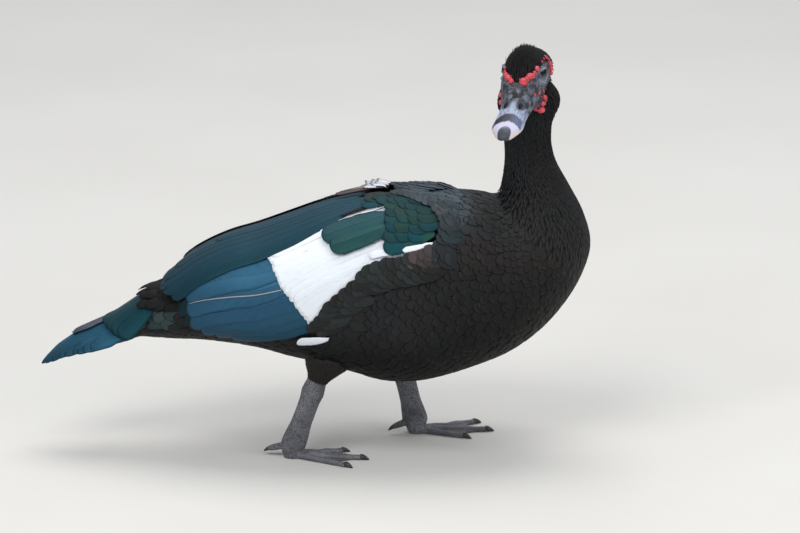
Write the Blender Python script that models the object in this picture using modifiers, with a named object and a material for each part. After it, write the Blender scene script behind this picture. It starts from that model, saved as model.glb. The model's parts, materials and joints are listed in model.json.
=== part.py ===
"""A muscovy drake, life size, stopped in mid-step as a museum shows it.

Metres, +Z up. The bird walks towards +X, so its right side faces -Y, and its head is turned
to its right, past that side. The origin lies on the floor under the middle of the model.
"""

import math
import random

import bmesh
import bpy
import numpy as np
from mathutils import Matrix, Vector

MM = 0.001
GAP = 0.3 * MM  # air between neighbouring pieces
VANE_THICK = 0.8 * MM
RIGHT, LEFT = -1, 1

# The skin from rump to throat, as slices that fan round the bend of the neck. Each row holds
# the slice's back edge (x, z), its belly edge (x, z), its half width and its squareness.
SKIN = [
    (-176, 155, -176, 111.5, 29, 2.0),
    (-160, 168, -158, 110.5, 38, 2.0),
    (-140, 178, -138, 110.5, 48, 2.1),
    (-115, 189, -115, 111, 60, 2.2),
    (-85, 204, -85, 109, 74, 2.3),
    (-57, 220, -57, 104.6, 85, 2.3),
    (-27, 233, -27, 96.4, 93, 2.3),
    (3, 244.5, 3, 89, 97, 2.3),
    (33, 253, 33, 80.5, 99.5, 2.3),
    (65, 259.5, 65, 70.8, 100.5, 2.3),
    (95, 261, 95, 69.5, 100, 2.3),
    (122, 261.5, 122, 74, 98, 2.3),
    (146, 261, 155, 84, 92.5, 2.3),
    (163, 259.5, 192, 99, 86, 2.3),
    (174, 257.5, 224, 121, 79, 2.2),
    (181, 260, 250, 150, 70, 2.15),
    (185, 267, 267, 180, 60, 2.1),
    (187, 276, 274, 208, 50, 2.05),
    (187.5, 287, 267, 238, 40, 2.0),
    (187, 299, 253, 266, 32, 2.0),
    (186, 312, 240, 290, 26.5, 2.0),
    (185.5, 325, 233, 311, 23.5, 2.0),
    (185.5, 337, 233, 329, 22.5, 2.0),
    (186, 347.5, 236.5, 345.5, 22.5, 2.0),
]
NECK_ROW = 17.5  # the slice where torso and neck part
SKIN_SIDES = 24
BACK_SAG = 0.04  # how far a slice's broadest line lies below its middle, of its half height

# The outer form that the folded wings lie on: x, middle z, half height, half width.
HULL = [
    (-190, 131, 16, 26),
    (-165, 138.2, 24.4, 40),
    (-147, 146.5, 34, 52),
    (-117, 156.8, 44.2, 68),
    (-87, 163.1, 51.5, 80),
    (-57, 164.1, 59.5, 88),
    (-27, 165.4, 69, 94),
    (3, 167.2, 78.2, 98),
    (33, 167.5, 86.5, 100.5),
    (63, 166, 94.6, 101.5),
    (83, 165.5, 96.2, 101.5),
    (113, 168, 94.6, 100),
    (143, 171.9, 92.1, 95.5),
    (173, 173, 84, 88),
    (200, 176, 74, 80),
]
HULL_SQUARENESS = 2.3

# The head, in its own frame: +X along the bill, +Z up, the origin midway between the eyes.
EYES_AT = Vector((205, -18, 390.4)) * MM
HEAD_TURN = math.radians(-105)
HEAD_DIP = math.radians(15)
SKULL = [  # x, top, bottom, half width, squareness
    (-36, -2, -14, 7, 2.0),
    (-33, 3, -20, 14, 2.0),
    (-27, 9, -27, 19, 2.1),
    (-15, 14.5, -33, 22, 2.2),
    (-3, 16.5, -36.5, 21.8, 2.1),
    (9, 15, -38, 21.2, 2.2),
    (19, 11, -37, 20, 2.4),
    (27, 5, -34, 17.8, 2.5),
    (33, -1, -31.5, 15.5, 2.5),
]
UPPER_BILL = [  # x, top, cutting edge, half width
    (33.3, -1.5, -24.5, 15),
    (41, -8, -24.2, 14),
    (50, -12, -23.4, 13.4),
    (60, -14.6, -23, 13.8),
    (70, -16, -22.8, 15),
    (78, -17, -22.8, 15.3),
    (84, -18.4, -23, 13),
    (87.3, -20.2, -23.6, 8.5),
    (89, -21.6, -24.4, 4.2),
]
LOWER_BILL = [  # x, upper face, underside, half width
    (33.3, -25, -31.2, 13.2),
    (46, -24.4, -29.5, 12),
    (60, -23.9, -28.2, 12.2),
    (70, -23.7, -27.4, 12.8),
    (76, -23.8, -26.8, 10.5),
    (79.2, -24, -26, 6),
]
EYE_RADIUS = 6.2 * MM
EYE_DEPTH = 16.9 * MM  # from the middle of the head to the middle of the eyeball
SKULL_SIDES = 24

# The legs: heel and toe joints of the right and the left leg, and the feathered thighs.
HEEL_AT = {RIGHT: Vector((-3, -48, 70)) * MM, LEFT: Vector((86, 45, 65)) * MM}
TOE_AT = {RIGHT: Vector((-25, -48, 9)) * MM, LEFT: Vector((99, 45, 9)) * MM}
HIP_AT = {RIGHT: Vector((17, -50, 122)) * MM, LEFT: Vector((72, 48, 118)) * MM}
FOOT_TURN = {RIGHT: math.radians(-9), LEFT: math.radians(2)}
BARE_ABOVE_HEEL = {RIGHT: 11 * MM, LEFT: 4 * MM}  # the thigh's feathers end there
ANKLE_UP = 11 * MM  # the foot's piece starts this far above the toe joint

# Each toe: its spread from straight ahead, its length to the claw, and half width there.
TOES = {
    "inner": (math.radians(27), 53 * MM, 3.1 * MM),
    "middle": (math.radians(0), 70 * MM, 3.3 * MM),
    "outer": (math.radians(-26), 66 * MM, 3.1 * MM),
}
CLAW_LENGTH = 9 * MM

ROOT_SINK = 1.5  # how far a feather's root lies below its height, in mm
VANE_BOW = 3.5  # how far a wing feather bends towards the belly, in mm

BLACK, BARE_SKIN, BILL, EYE, SCALY, HORN, GREEN = (
    ("plumage_black", (0.012, 0.012, 0.014), 0.6),
    ("bare_face", (0.05, 0.05, 0.06), 0.45),
    ("bill_horn", (0.42, 0.45, 0.55), 0.35),
    ("eye_gloss", (0.02, 0.012, 0.01), 0.08),
    ("leg_scales", (0.06, 0.06, 0.068), 0.55),
    ("claw_horn", (0.02, 0.02, 0.022), 0.4),
    ("flight_green", (0.012, 0.07, 0.085), 0.35),
)


def clear_scene():
    for thing in list(bpy.data.objects):
        bpy.data.objects.remove(thing, do_unlink=True)


def new_collection(name):
    made = bpy.data.collections.new(name)
    bpy.context.scene.collection.children.link(made)
    return made


def material(look):
    name, colour, roughness = look
    made = bpy.data.materials.get(name)
    if made is None:
        made = bpy.data.materials.new(name)
        made.use_nodes = True
        shader = made.node_tree.nodes["Principled BSDF"]
        shader.inputs["Base Color"].default_value = (*colour, 1)
        shader.inputs["Roughness"].default_value = roughness
        shader.inputs["Metallic"].default_value = 0
    return made


def place(mesh, name, look=None, into="muscovy_drake"):
    thing = bpy.data.objects.new(name, mesh)
    bpy.data.collections[into].objects.link(thing)
    if look:
        mesh.materials.append(material(look))
        mesh.shade_smooth()
        mesh.set_sharp_from_angle(angle=math.radians(40))
    return thing


def between(table, at):
    """Values of the table's rows at fractional row numbers, on a curve through all rows."""
    rows = np.asarray(table, float)
    at = np.clip(np.asarray(at, float), 0, len(rows) - 1)
    i = np.minimum(at.astype(int), len(rows) - 2)
    f = (at - i)[..., None]
    before, a = rows[np.maximum(i - 1, 0)], rows[i]
    b, after = rows[i + 1], rows[np.minimum(i + 2, len(rows) - 1)]
    bend = 2 * before - 5 * a + 4 * b - after + f * (3 * (a - b) + after - before)
    return a + 0.5 * f * (b - before + f * bend)


def power(value, exponent):
    return np.sign(value) * np.abs(value) ** exponent


def oval(half_height, half_width, squareness, turns):
    """(across, up) of a squarish oval. Turns run from the top, one whole turn round."""
    angle = 2 * math.pi * np.asarray(turns)
    across = half_width * power(np.sin(angle), 2 / squareness)
    return across, half_height * power(np.cos(angle), 2 / squareness)


def loft(name, rings, look=None, into="muscovy_drake"):
    """A closed body through rings of equally many points, with a flat cap at each end."""
    sides, bm = len(rings[0]), bmesh.new()
    rows = [[bm.verts.new(p) for p in ring] for ring in rings]
    for near, far in zip(rows, rows[1:]):
        for k in range(sides):
            n = (k + 1) % sides
            bm.faces.new((near[k], near[n], far[n], far[k]))
    bm.faces.new(rows[0])
    bm.faces.new(reversed(rows[-1]))
    bmesh.ops.recalc_face_normals(bm, faces=bm.faces)
    mesh = bpy.data.meshes.new(name)
    bm.to_mesh(mesh)
    bm.free()
    return place(mesh, name, look, into)


# Outlines of feathers: how far along, and the width there as a share of the greatest.
BROAD = ((0, 0.4), (0.36, 0.88), (0.78, 1), (0.94, 0.76), (1, 0.4))
BLUNT = ((0, 0.5), (0.3, 0.9), (0.7, 1), (0.92, 0.76), (1, 0.38))
ROUND = ((0, 0.6), (0.4, 1), (0.78, 0.88), (1, 0.36))
POINTED = ((0, 0.5), (0.35, 1), (0.75, 0.8), (1, 0.16))
TAPERED = ((0, 0.6), (0.5, 1), (0.84, 0.72), (1, 0.2))


def sheet(name, grid, thick):
    """A thin closed plate through a grid of points, cut into triangles alike on both faces."""
    rows, columns = len(grid), len(grid[0])
    bm = bmesh.new()
    verts = [[bm.verts.new(p) for p in row] for row in grid]
    for i in range(rows - 1):
        for j in range(columns - 1):
            a, b = verts[i][j], verts[i][j + 1]
            c, d = verts[i + 1][j + 1], verts[i + 1][j]
            if j < (columns - 1) / 2:
                bm.faces.new((a, b, c))
                bm.faces.new((a, c, d))
            else:
                bm.faces.new((a, b, d))
                bm.faces.new((b, c, d))
    mesh = bpy.data.meshes.new(name)
    bm.to_mesh(mesh)
    bm.free()
    plate = place(mesh, name)
    solid = plate.modifiers.new("thickness", "SOLIDIFY")
    solid.thickness = thick
    solid.offset = 0
    return plate


def laid_vane(surface, root, tip, half_width, heights, shape=BLUNT, tilt=0.0, bow=0.0):
    """A feather laid on a surface, from root to tip in the surface's own two measures.

    The heights are those of its root and tip. A tilt lifts the side on which the surface's
    second measure grows, and a bow bends the feather to that side.
    """
    root, tip = np.array(root, float), np.array(tip, float)
    way = (tip - root) / np.linalg.norm(tip - root)
    aside = np.array((way[1], -way[0]))
    grid = []
    for s, share in shape:
        middle = root + (tip - root) * s + aside * bow * math.sin(math.pi * s)
        height = heights[0] + (heights[1] - heights[0]) * s - (ROOT_SINK if s == 0 else 0)
        row = []
        for q in (-1, 0, 1) if half_width > 12 else (-1, 1):
            at = middle + aside * q * share * half_width
            if s == 1 and q == 0:
                at = at + way * 0.2 * half_width
            row.append(surface(at[0], at[1], height + tilt * q + 0.3 * (q == 0)))
        grid.append(row)
    return sheet("vane", grid, VANE_THICK)


def even_turns(count):
    return np.arange(count) / count


def skin_slice(at, turns, grow=0.0):
    """Points of the skin's slice at a fractional row of SKIN."""
    bx, bz, vx, vz, half_width, squareness = between(SKIN, at)
    back, belly = np.array((bx, 0, bz)), np.array((vx, 0, vz))
    middle, up = (back + belly) / 2, (back - belly) / 2
    half = np.linalg.norm(up)
    across, high = oval(half + grow, half_width + grow, squareness, turns)
    high = high - BACK_SAG * half * (1 - (high / (half + grow)) ** 2)
    points = middle + np.outer(high, up / half) + np.outer(across, (0, 1, 0))
    return points * MM


def skin_rings(first, last, count, turns, grow=0.0):
    return [skin_slice(at, turns, grow) for at in np.linspace(first, last, count)]


def along(ring, nearer, distance):
    """The ring moved towards the point nearer, square to its own plane."""
    middle = np.mean(ring, axis=0)
    face = np.cross(ring[0] - middle, ring[len(ring) // 4] - middle)
    face /= np.linalg.norm(face)
    if np.dot(face, nearer - middle) < 0:
        face = -face
    return ring + face * distance


def make_torso():
    turns = even_turns(SKIN_SIDES)
    rings = skin_rings(0, NECK_ROW, 23, turns)
    return loft("torso", rings, BLACK)


def make_neck():
    turns = even_turns(SKIN_SIDES)
    top = len(SKIN) - 1
    rings = skin_rings(NECK_ROW, top, 10, turns)
    rings[0] = along(rings[0], rings[1].mean(axis=0), GAP)
    return loft("neck", rings, BLACK)


def join(base, pieces, operation="UNION", solver="MANIFOLD"):
    """Joins closed pieces to the base, or cuts them from it, and removes them."""
    group = new_collection(base.name + "_pieces")
    for piece in pieces:
        for holder in list(piece.users_collection):
            holder.objects.unlink(piece)
        group.objects.link(piece)
    boolean = base.modifiers.new("join", "BOOLEAN")
    boolean.operation = operation
    boolean.operand_type = "COLLECTION"
    boolean.collection = group
    boolean.solver = solver
    apply_modifiers(base)
    for piece in list(group.objects):
        bpy.data.objects.remove(piece, do_unlink=True)
    bpy.data.collections.remove(group)
    return base


def apply_modifiers(thing):
    graph = bpy.context.evaluated_depsgraph_get()
    graph.update()
    made = bpy.data.meshes.new_from_object(thing.evaluated_get(graph))
    thing.modifiers.clear()
    thing.data = made
    keep_largest(thing)


def keep_largest(thing):
    """Leaves only the closed surface of the largest volume."""
    bm = bmesh.new()
    bm.from_mesh(thing.data)
    bm.faces.ensure_lookup_table()
    seen, islands = set(), []
    for face in bm.faces:
        if face in seen:
            continue
        stack, island = [face], []
        seen.add(face)
        while stack:
            here = stack.pop()
            island.append(here)
            for edge in here.edges:
                for other in edge.link_faces:
                    if other not in seen:
                        seen.add(other)
                        stack.append(other)
        islands.append(island)

    def volume(island):
        total = 0
        for face in island:
            a = face.verts[0].co
            for b, c in zip(face.verts[1:], face.verts[2:]):
                total += a.dot(b.co.cross(c.co)) / 6
        return abs(total)

    islands.sort(key=volume, reverse=True)
    loose = [face for island in islands[1:] for face in island]
    bmesh.ops.delete(bm, geom=loose, context="FACES")
    lone = [v for v in bm.verts if not v.link_faces]
    bmesh.ops.delete(bm, geom=lone, context="VERTS")
    bm.to_mesh(thing.data)
    bm.free()


class Hull:
    """The outer form under the wings, by distance along the bird and round from its back."""

    turns = np.linspace(0, 0.5, 181)

    def __init__(self):
        self.rows = np.array(HULL, float)

    def slice(self, x):
        place_in = np.interp(x, self.rows[:, 0], np.arange(len(self.rows)))
        _, middle, half_height, half_width = between(self.rows, place_in)
        across, high = oval(half_height, half_width, HULL_SQUARENESS, self.turns)
        round_way = np.concatenate([[0], np.cumsum(np.hypot(np.diff(across), np.diff(high)))])
        return across, middle + high, round_way

    def on(self, x, t):
        across, z, round_way = self.slice(x)
        if t < 0:
            return np.array((x, t, z[0]))
        return np.array((x, np.interp(t, round_way, across), np.interp(t, round_way, z)))

    def point(self, x, t, height, side):
        """The point at x and t, the way round from the back, raised by height. In metres."""
        step = 1.5
        ahead, behind = self.on(x + step, t), self.on(x - step, t)
        lower, upper = self.on(x, t + step), self.on(x, t - step)
        out = np.cross(ahead - behind, lower - upper)
        here = self.on(x, t) + out / np.linalg.norm(out) * height
        return np.array((here[0], here[1] * side, here[2])) * MM


HULL_FORM = Hull()


def wing_outline(x):
    """(upper, lower) edge of the folded wing at x, as ways round from the back."""
    upper = np.interp(
        x,
        (-156, -150, -120, -60, 20, 70, 100, 112, 120, 126),
        (26, 12, 5, 4, 6, 14, 24, 32, 42, 54),
    )
    lower = np.interp(
        x,
        (-156, -145, -127, -102, -77, -17, 0, 31, 68, 100, 114, 122, 126),
        (34, 68, 100, 134, 149, 167, 156, 130, 112, 100, 90, 78, 66),
    )
    return upper, lower


def wing_plate(name, side, look):
    """The plate on the flank that the wing's feathers grow from."""
    rings = []
    for x in np.linspace(-22, 124, 11):
        upper, lower = wing_outline(x)
        raised = np.interp(x, (-22, 0, 30), (-0.2, 0.2, 0.4))
        ways = np.linspace(upper + 3, lower - 3, 7)
        outer = [HULL_FORM.point(x, t, raised, side) for t in ways]
        inner = [HULL_FORM.point(x, t, -4.5, side) for t in ways[::-1]]
        rings.append(np.array(outer + inner))
    return loft(name, rings, look)


# Feathers of a folded wing, each from root to tip as (along the bird, way round from the back).
# After them stand half width, height of root and tip over the hull, and the shape of the tip.
PRIMARIES = [
    ((-4, 94), (-157, 66), 12, -1.8, -0.5, BROAD),
]
SECONDARIES = [
    ((14, 147), (-94, 134), 13, -1.2, 0.6, BROAD),
    ((8, 132), (-119, 111), 14, -1.1, 0.9, BROAD),
    ((4, 117), (-134, 91), 14.5, -1.0, 1.2, BROAD),
    ((2, 101), (-144, 71), 15, -0.8, 1.5, BROAD),
    ((0, 85), (-150, 52), 15.5, -0.5, 1.8, BROAD),
    ((0, 68), (-147, 36), 15, -0.3, 1.9, BROAD),
    ((6, 52), (-136, 25), 16, -0.2, 1.8, BROAD),
    ((16, 38), (-116, 16), 13, 0.2, 1.9, BROAD),
    ((30, 25), (-86, 11), 11, 0.4, 1.9, BLUNT),
    ((40, 15), (-50, 8), 8, 0.6, 1.8, BLUNT),
]
GREATER_COVERTS = [
    ((24, 132), (-9, 154), 10, 0.5, 2.6, ROUND),
    ((24, 120), (-19, 138), 10.5, 0.6, 2.8, ROUND),
    ((22, 107), (-30, 121), 10.5, 0.7, 2.9, ROUND),
    ((20, 94), (-39, 105), 10.5, 0.8, 3.0, ROUND),
    ((18, 80), (-45, 88), 11, 0.9, 3.1, ROUND),
    ((34, 60), (-43, 71), 10.5, 1.0, 3.1, ROUND),
]
MEDIAN_COVERTS = [
    ((72, 103), (22, 119), 11.5, 0.6, 3.3, ROUND),
    ((76, 88), (9, 99), 12, 0.8, 3.7, ROUND),
    ((94, 97), (52, 109), 9.5, 0.6, 2.8, ROUND),
]
SCAPULARS = [
    ((66, 63), (10, 79), 15, 1.0, 4.2, BLUNT),
    ((108, 82), (60, 91), 15, 0.8, 3.8, BLUNT),
    ((64, 42), (14, 52), 12, 0.8, 3.4, ROUND),
    ((70, 26), (24, 33), 11, 0.7, 2.8, ROUND),
    ((92, 60), (60, 65), 11, 1.0, 4.0, ROUND),
    ((94, 43), (60, 47), 11, 0.9, 3.5, ROUND),
    ((94, 28), (62, 30), 10, 0.7, 2.8, ROUND),
    ((116, 66), (87, 70), 11.5, 0.5, 3.2, ROUND),
    ((117, 47), (87, 49), 11.5, 0.5, 3.0, ROUND),
]
WING_TIERS = (PRIMARIES, SECONDARIES, GREATER_COVERTS, MEDIAN_COVERTS, SCAPULARS)


def make_wing(side):
    name = "wing_right" if side == RIGHT else "wing_left"
    wing = wing_plate(name, side, GREEN)

    def surface(x, t, height):
        return HULL_FORM.point(x, t, height, side)

    vanes = []
    rng = random.Random(11)
    for tier in WING_TIERS:
        for root, tip, half_width, low, high, shape in tier:
            tip = (tip[0] + rng.uniform(-1.5, 1.5), tip[1] + rng.uniform(-1, 1))
            heights = (low, high + rng.uniform(-0.1, 0.1))
            tilt = 2.0 if shape is BROAD else 0.9
            vanes.append(laid_vane(surface, root, tip, half_width, heights, shape, tilt, VANE_BOW))
    join(wing, vanes)
    join(wing, [grown_skin(1.2 * GAP)], "DIFFERENCE")
    return wing


def grown_skin(grow):
    rings = skin_rings(0, NECK_ROW, 23, even_turns(SKIN_SIDES), grow / MM)
    return loft("grown_skin", rings)


# The ridge line of the tail's fan, x and z, and the arch that the fan makes across it.
TAIL_RIDGE = [
    (-276, 84),
    (-257, 102.5),
    (-237, 117),
    (-217, 127),
    (-199, 135.5),
    (-187, 144),
    (-176, 152),
    (-165, 158),
]
TAIL_ARCH = 42.0
TAIL_ROOT = [  # x, top, bottom, half width of the fleshy root and the coverts round it
    (-186, 143, 108.5, 33),
    (-200, 132.5, 105.5, 34.5),
    (-216, 124.5, 104, 31),
    (-232, 116, 103.5, 24),
    (-245, 108, 103, 14),
]
RECTRICES = [  # root and tip as (x, way round from the ridge), then height, of one side
    ((-182, 5), (-269, 6), 4.9),
    ((-182, 9), (-266, 12), 3.1),
    ((-182, 13), (-258, 18.5), 2.3),
    ((-182, 17), (-248, 25), 1.6),
    ((-182, 20), (-240, 31), 1.0),
    ((-182, 23), (-228, 35), 0.4),
]
TAIL_COVERTS = [
    ((-177, 25), (-203, 33), 3.0),
    ((-177, 14), (-210, 19), 4.6),
    ((-177, 4), (-203, 6), 6.6),
]
LEFT_OVER_RIGHT = 0.9  # how much higher the tail feathers of the left side lie, in mm


def tail_point(x, round_way, height):
    """The point of the tail's arch at x and the way round from its ridge, raised by height."""
    ridge = np.array(TAIL_RIDGE, float)
    z = np.interp(x, ridge[:, 0], ridge[:, 1])
    slope = np.interp(x + 8, ridge[:, 0], ridge[:, 1]) - np.interp(x - 8, ridge[:, 0], ridge[:, 1])
    up = np.array((-slope, 0, 16)) / math.hypot(slope, 16)
    angle = round_way / TAIL_ARCH
    out = up * math.cos(angle) + np.array((0, math.sin(angle), 0))
    middle = np.array((x, 0, z)) - up * TAIL_ARCH
    return (middle + out * (TAIL_ARCH + height)) * MM


def make_tail():
    """The tail's root, which goes on from the rump, and its fan of feathers."""
    turns = even_turns(SKIN_SIDES)
    root = skin_slice(0, turns)
    rings = [along(root, np.array((-1, 0, 0.1)), GAP)]
    for x, top, bottom, half_width in TAIL_ROOT:
        across, high = oval((top - bottom) / 2, half_width, 2.0, turns)
        rings.append(np.stack([0 * high + x, across, high + (top + bottom) / 2], axis=1) * MM)
    tail = loft("tail", rings, GREEN)
    vanes = []
    rng = random.Random(5)
    for side in (LEFT, RIGHT):

        def surface(x, round_way, height, side=side):
            return tail_point(x, round_way, height) * np.array((1, side, 1))

        for root, tip, height in RECTRICES:
            tip = (tip[0] + rng.uniform(-2, 2), tip[1] + rng.uniform(-1, 1))
            height += LEFT_OVER_RIGHT * (side == LEFT)
            vanes.append(laid_vane(surface, root, tip, 12, (height - 5, height), TAPERED, 0.8, 1))
        for root, tip, height in TAIL_COVERTS:
            height += LEFT_OVER_RIGHT * (side == LEFT)
            vanes.append(laid_vane(surface, root, tip, 10.5, (height - 5, height), ROUND, 0.5))
    join(tail, vanes)
    rump = SKIN[0][0] * MM - GAP
    join(tail, [box("rump", (rump, -0.2, 0), (0, 0.2, 0.3))], "DIFFERENCE")
    return tail


def head_frame():
    turn = Matrix.Rotation(HEAD_TURN, 4, "Z") @ Matrix.Rotation(HEAD_DIP, 4, "Y")
    return Matrix.Translation(EYES_AT) @ turn


def to_head(thing):
    """Carries a piece that was shaped in the head's frame to its place."""
    thing.data.transform(head_frame())
    return thing


def head_rings(table, count, turns):
    rings = []
    for at in np.linspace(0, len(table) - 1, count):
        x, top, bottom, half_width, squareness = between(table, at)
        across, high = oval((top - bottom) / 2, half_width, squareness, turns)
        middle = (top + bottom) / 2
        rings.append(np.stack([0 * high + x, across, high + middle], axis=1) * MM)
    return rings


def ball(name, at, radius, level=2, look=None, into="muscovy_drake"):
    bm = bmesh.new()
    bmesh.ops.create_icosphere(bm, subdivisions=level, radius=radius)
    bmesh.ops.translate(bm, verts=bm.verts, vec=at)
    mesh = bpy.data.meshes.new(name)
    bm.to_mesh(mesh)
    bm.free()
    return place(mesh, name, look, into)


# Red warts round the crest and behind the eye, as along the skull, degrees round from its top
# and radius, and then those of the cheek, as a place and a radius. Both sides carry them.
BROW_WARTS = [
    (27.5, 17, 4.3),
    (23.5, 32, 4.3),
    (18, 43, 4.0),
    (11.5, 49, 2.9),
    (-11, 54, 3.1),
    (-18, 60, 3.6),
    (-23, 74, 3.8),
    (-24.5, 91, 3.6),
]
CHEEK_WARTS = [
    (26, 18.3, -12.5, 2.0),
    (11, 21.4, -18.5, 2.9),
    (7.5, 21.7, -26.5, 3.8),
    (15, 20, -33.5, 4.8),
    (19.5, 16.5, -35, 3),
    (1, 20, -31, 3.8),
]
# Rows of crest feathers: along the skull, degrees round from its top, length and rise.
CREST = [
    (26.5, (2,), 13, 26),
    (22, (-16, 16), 15, 26),
    (16.5, (-28, -4, 20), 17, 27),
    (9, (-38, -13, 12, 36), 18, 27),
    (-1, (-41, -15, 13, 40), 18, 27),
    (-11, (-42, -21, 0, 21, 42), 17, 21),
    (-23, (-32, 0, 32), 13, 14),
]


def skull_point(x, degrees, height=0.0):
    """A point of the skull in the head's frame, and the way out of it."""

    def on(x, turn):
        rows = np.array(SKULL, float)
        at = np.interp(x, rows[:, 0], np.arange(len(rows)))
        _, top, bottom, half_width, squareness = between(rows, at)
        across, high = oval((top - bottom) / 2, half_width, squareness, np.array([turn]))
        return np.array((x, across[0], high[0] + (top + bottom) / 2))

    turn = (degrees / 360) % 1
    here = on(x, turn)
    out = np.cross(on(x + 1, turn) - on(x - 1, turn), on(x, turn + 0.01) - on(x, turn - 0.01))
    out /= np.linalg.norm(out)
    return here + out * height, out


def standing_vane(root, way, out, length, half_width, curl, shape=POINTED):
    """A feather that grows freely from a root, in the head's frame. It curls outward."""
    across = np.cross(way, out)
    grid = []
    for s, share in shape:
        middle = root + way * length * s + out * curl * s * s
        row = []
        for q in (-1, 1):
            row.append((middle + across * q * share * half_width) * MM)
        grid.append(row)
    return to_head(sheet("crest", grid, VANE_THICK))


def crest_vanes():
    rng = random.Random(3)
    vanes = []
    for x, ring, length, rise in CREST:
        for degrees in ring:
            jitter = rng.uniform(-3, 3)
            root, out = skull_point(x, degrees + jitter, -1.6)
            back = np.array((-1, 0, 0)) - out * np.dot((-1, 0, 0), out)
            back /= np.linalg.norm(back)
            aside = np.cross(out, back) * math.radians(-0.25 * degrees + rng.uniform(-8, 8))
            angle = math.radians(rise + rng.uniform(-4, 4))
            way = (back + aside) * math.cos(angle) + out * math.sin(angle)
            way /= np.linalg.norm(way)
            face = np.cross(np.cross(way, out), way)
            face /= np.linalg.norm(face)
            reach = length * rng.uniform(0.92, 1.08)
            vanes.append(standing_vane(root, way, face, reach, 4.6, -2.5))
    return vanes


def warts():
    rng = random.Random(8)
    places = []
    for x, degrees, radius in BROW_WARTS:
        at, out = skull_point(x, degrees, 0.2 * radius)
        places.append((at, radius))
    for x, y, z, radius in CHEEK_WARTS:
        places.append((np.array((x, y, z)), radius))
    beads = []
    for at, radius in places:
        for side in (LEFT, RIGHT):
            moved = at * (1, side, 1) + (rng.uniform(-0.6, 0.6), 0, rng.uniform(-0.4, 0.4))
            beads.append(to_head(ball("wart", moved * MM, radius * MM, 1)))
    return beads


def eyelid(side):
    """A ring round the eye, which the socket then opens."""
    bpy.ops.mesh.primitive_torus_add(
        major_segments=14,
        minor_segments=5,
        major_radius=5.6 * MM,
        minor_radius=1.4 * MM,
        rotation=(math.radians(90), 0, 0),
        location=(0, side * (EYE_DEPTH + 3.2 * MM), 0),
    )
    ring = bpy.context.object
    bpy.ops.object.transform_apply(location=True, rotation=True, scale=True)
    return to_head(ring)


def make_head():
    head = loft("head", head_rings(SKULL, 12, even_turns(SKULL_SIDES)), BARE_SKIN)
    to_head(head)
    foot = skin_slice(len(SKIN) - 1, even_turns(20))
    throat = [along(foot, np.array((0.21, 0, 1)), GAP)]
    middle = foot.mean(axis=0)
    for rise, share, forward in ((9, 1.03, 1), (18, 1.02, 0.5), (28, 0.93, -2), (37, 0.68, -5)):
        throat.append(middle + (foot - middle) * share + np.array((forward, 0, rise)) * MM)
    pieces = [loft("throat", throat)]
    for side in (LEFT, RIGHT):
        pieces.append(to_head(ball("cheek", Vector((11, side * 11.5, -26.5)) * MM, 11 * MM)))
        pieces.append(eyelid(side))
    join(head, pieces)
    join(head, crest_vanes() + warts())
    sockets = [
        to_head(ball("socket", Vector((0, side * EYE_DEPTH, 0)), EYE_RADIUS + 2 * GAP, 2))
        for side in (RIGHT, LEFT)
    ]
    join(head, sockets, "DIFFERENCE")
    join(head, mouth_corners(), "DIFFERENCE")
    return head


def mouth_corners():
    """The grooves that carry the mouth line back from the bill over the cheeks."""
    grooves = []
    for side in (LEFT, RIGHT):
        path = []
        for x, z in ((35, -24.6), (27, -24.4), (20, -23.4), (14, -21.4)):
            y = side * (np.interp(x, (14, 27, 35), (23, 20, 17)))
            path.append((Vector((x, y, z)) * MM, 0.6 * MM if x > 15 else 0.25 * MM, 3.2 * MM))
        grooves.append(to_head(rod("groove", path, 6)))
    return grooves


def make_eyes():
    for side, name in ((RIGHT, "eye_right"), (LEFT, "eye_left")):
        to_head(ball(name, Vector((0, side * EYE_DEPTH, 0)), EYE_RADIUS, 3, EYE))


def bill_rings(table, count, sides, domed):
    """Slices of a bill half. A domed one is round above and flat below, or the other way."""
    rings = []
    for at in np.linspace(0, len(table) - 1, count):
        x, top, bottom, half_width = between(table, at)
        angle = 2 * math.pi * even_turns(sides)
        across = half_width * power(np.sin(angle), 0.8)
        rise = power(np.cos(angle), 0.9)
        edge, crown = (bottom, top) if domed else (top, bottom)
        lean = 1 if domed else -1
        body = np.where(rise * lean > 0, (crown - edge) * np.abs(rise), 0)
        rings.append(np.stack([0 * body + x, across, edge + body], axis=1) * MM)
        rings[-1][:, 2] += np.where(rise * lean > 0, 0, 0.5 * np.abs(rise)) * MM
    return rings


def make_bill():
    upper = loft("bill_upper", bill_rings(UPPER_BILL, 13, 18, True), BILL)
    lower = loft("bill_lower", bill_rings(LOWER_BILL, 8, 14, False), BILL)
    nostrils = []
    for side in (LEFT, RIGHT):
        nostril = ball("nostril", (0, 0, 0), 1.9 * MM, 1)
        shape = Matrix.LocRotScale(
            Vector((44, side * 7.8, -11.4)) * MM,
            Matrix.Rotation(math.radians(12), 3, "Y"),
            Vector((1.9, 0.9, 1.0)),
        )
        nostril.data.transform(shape)
        nostrils.append(nostril)
    join(upper, nostrils, "DIFFERENCE")
    nail = ball("nail", (0, 0, 0), 1 * MM, 2)
    nail.data.transform(
        Matrix.LocRotScale(Vector((85, 0, -21.7)) * MM, None, Vector((5.2, 6.4, 4.5)))
    )
    join(upper, [nail])
    to_head(upper)
    to_head(lower)


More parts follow.
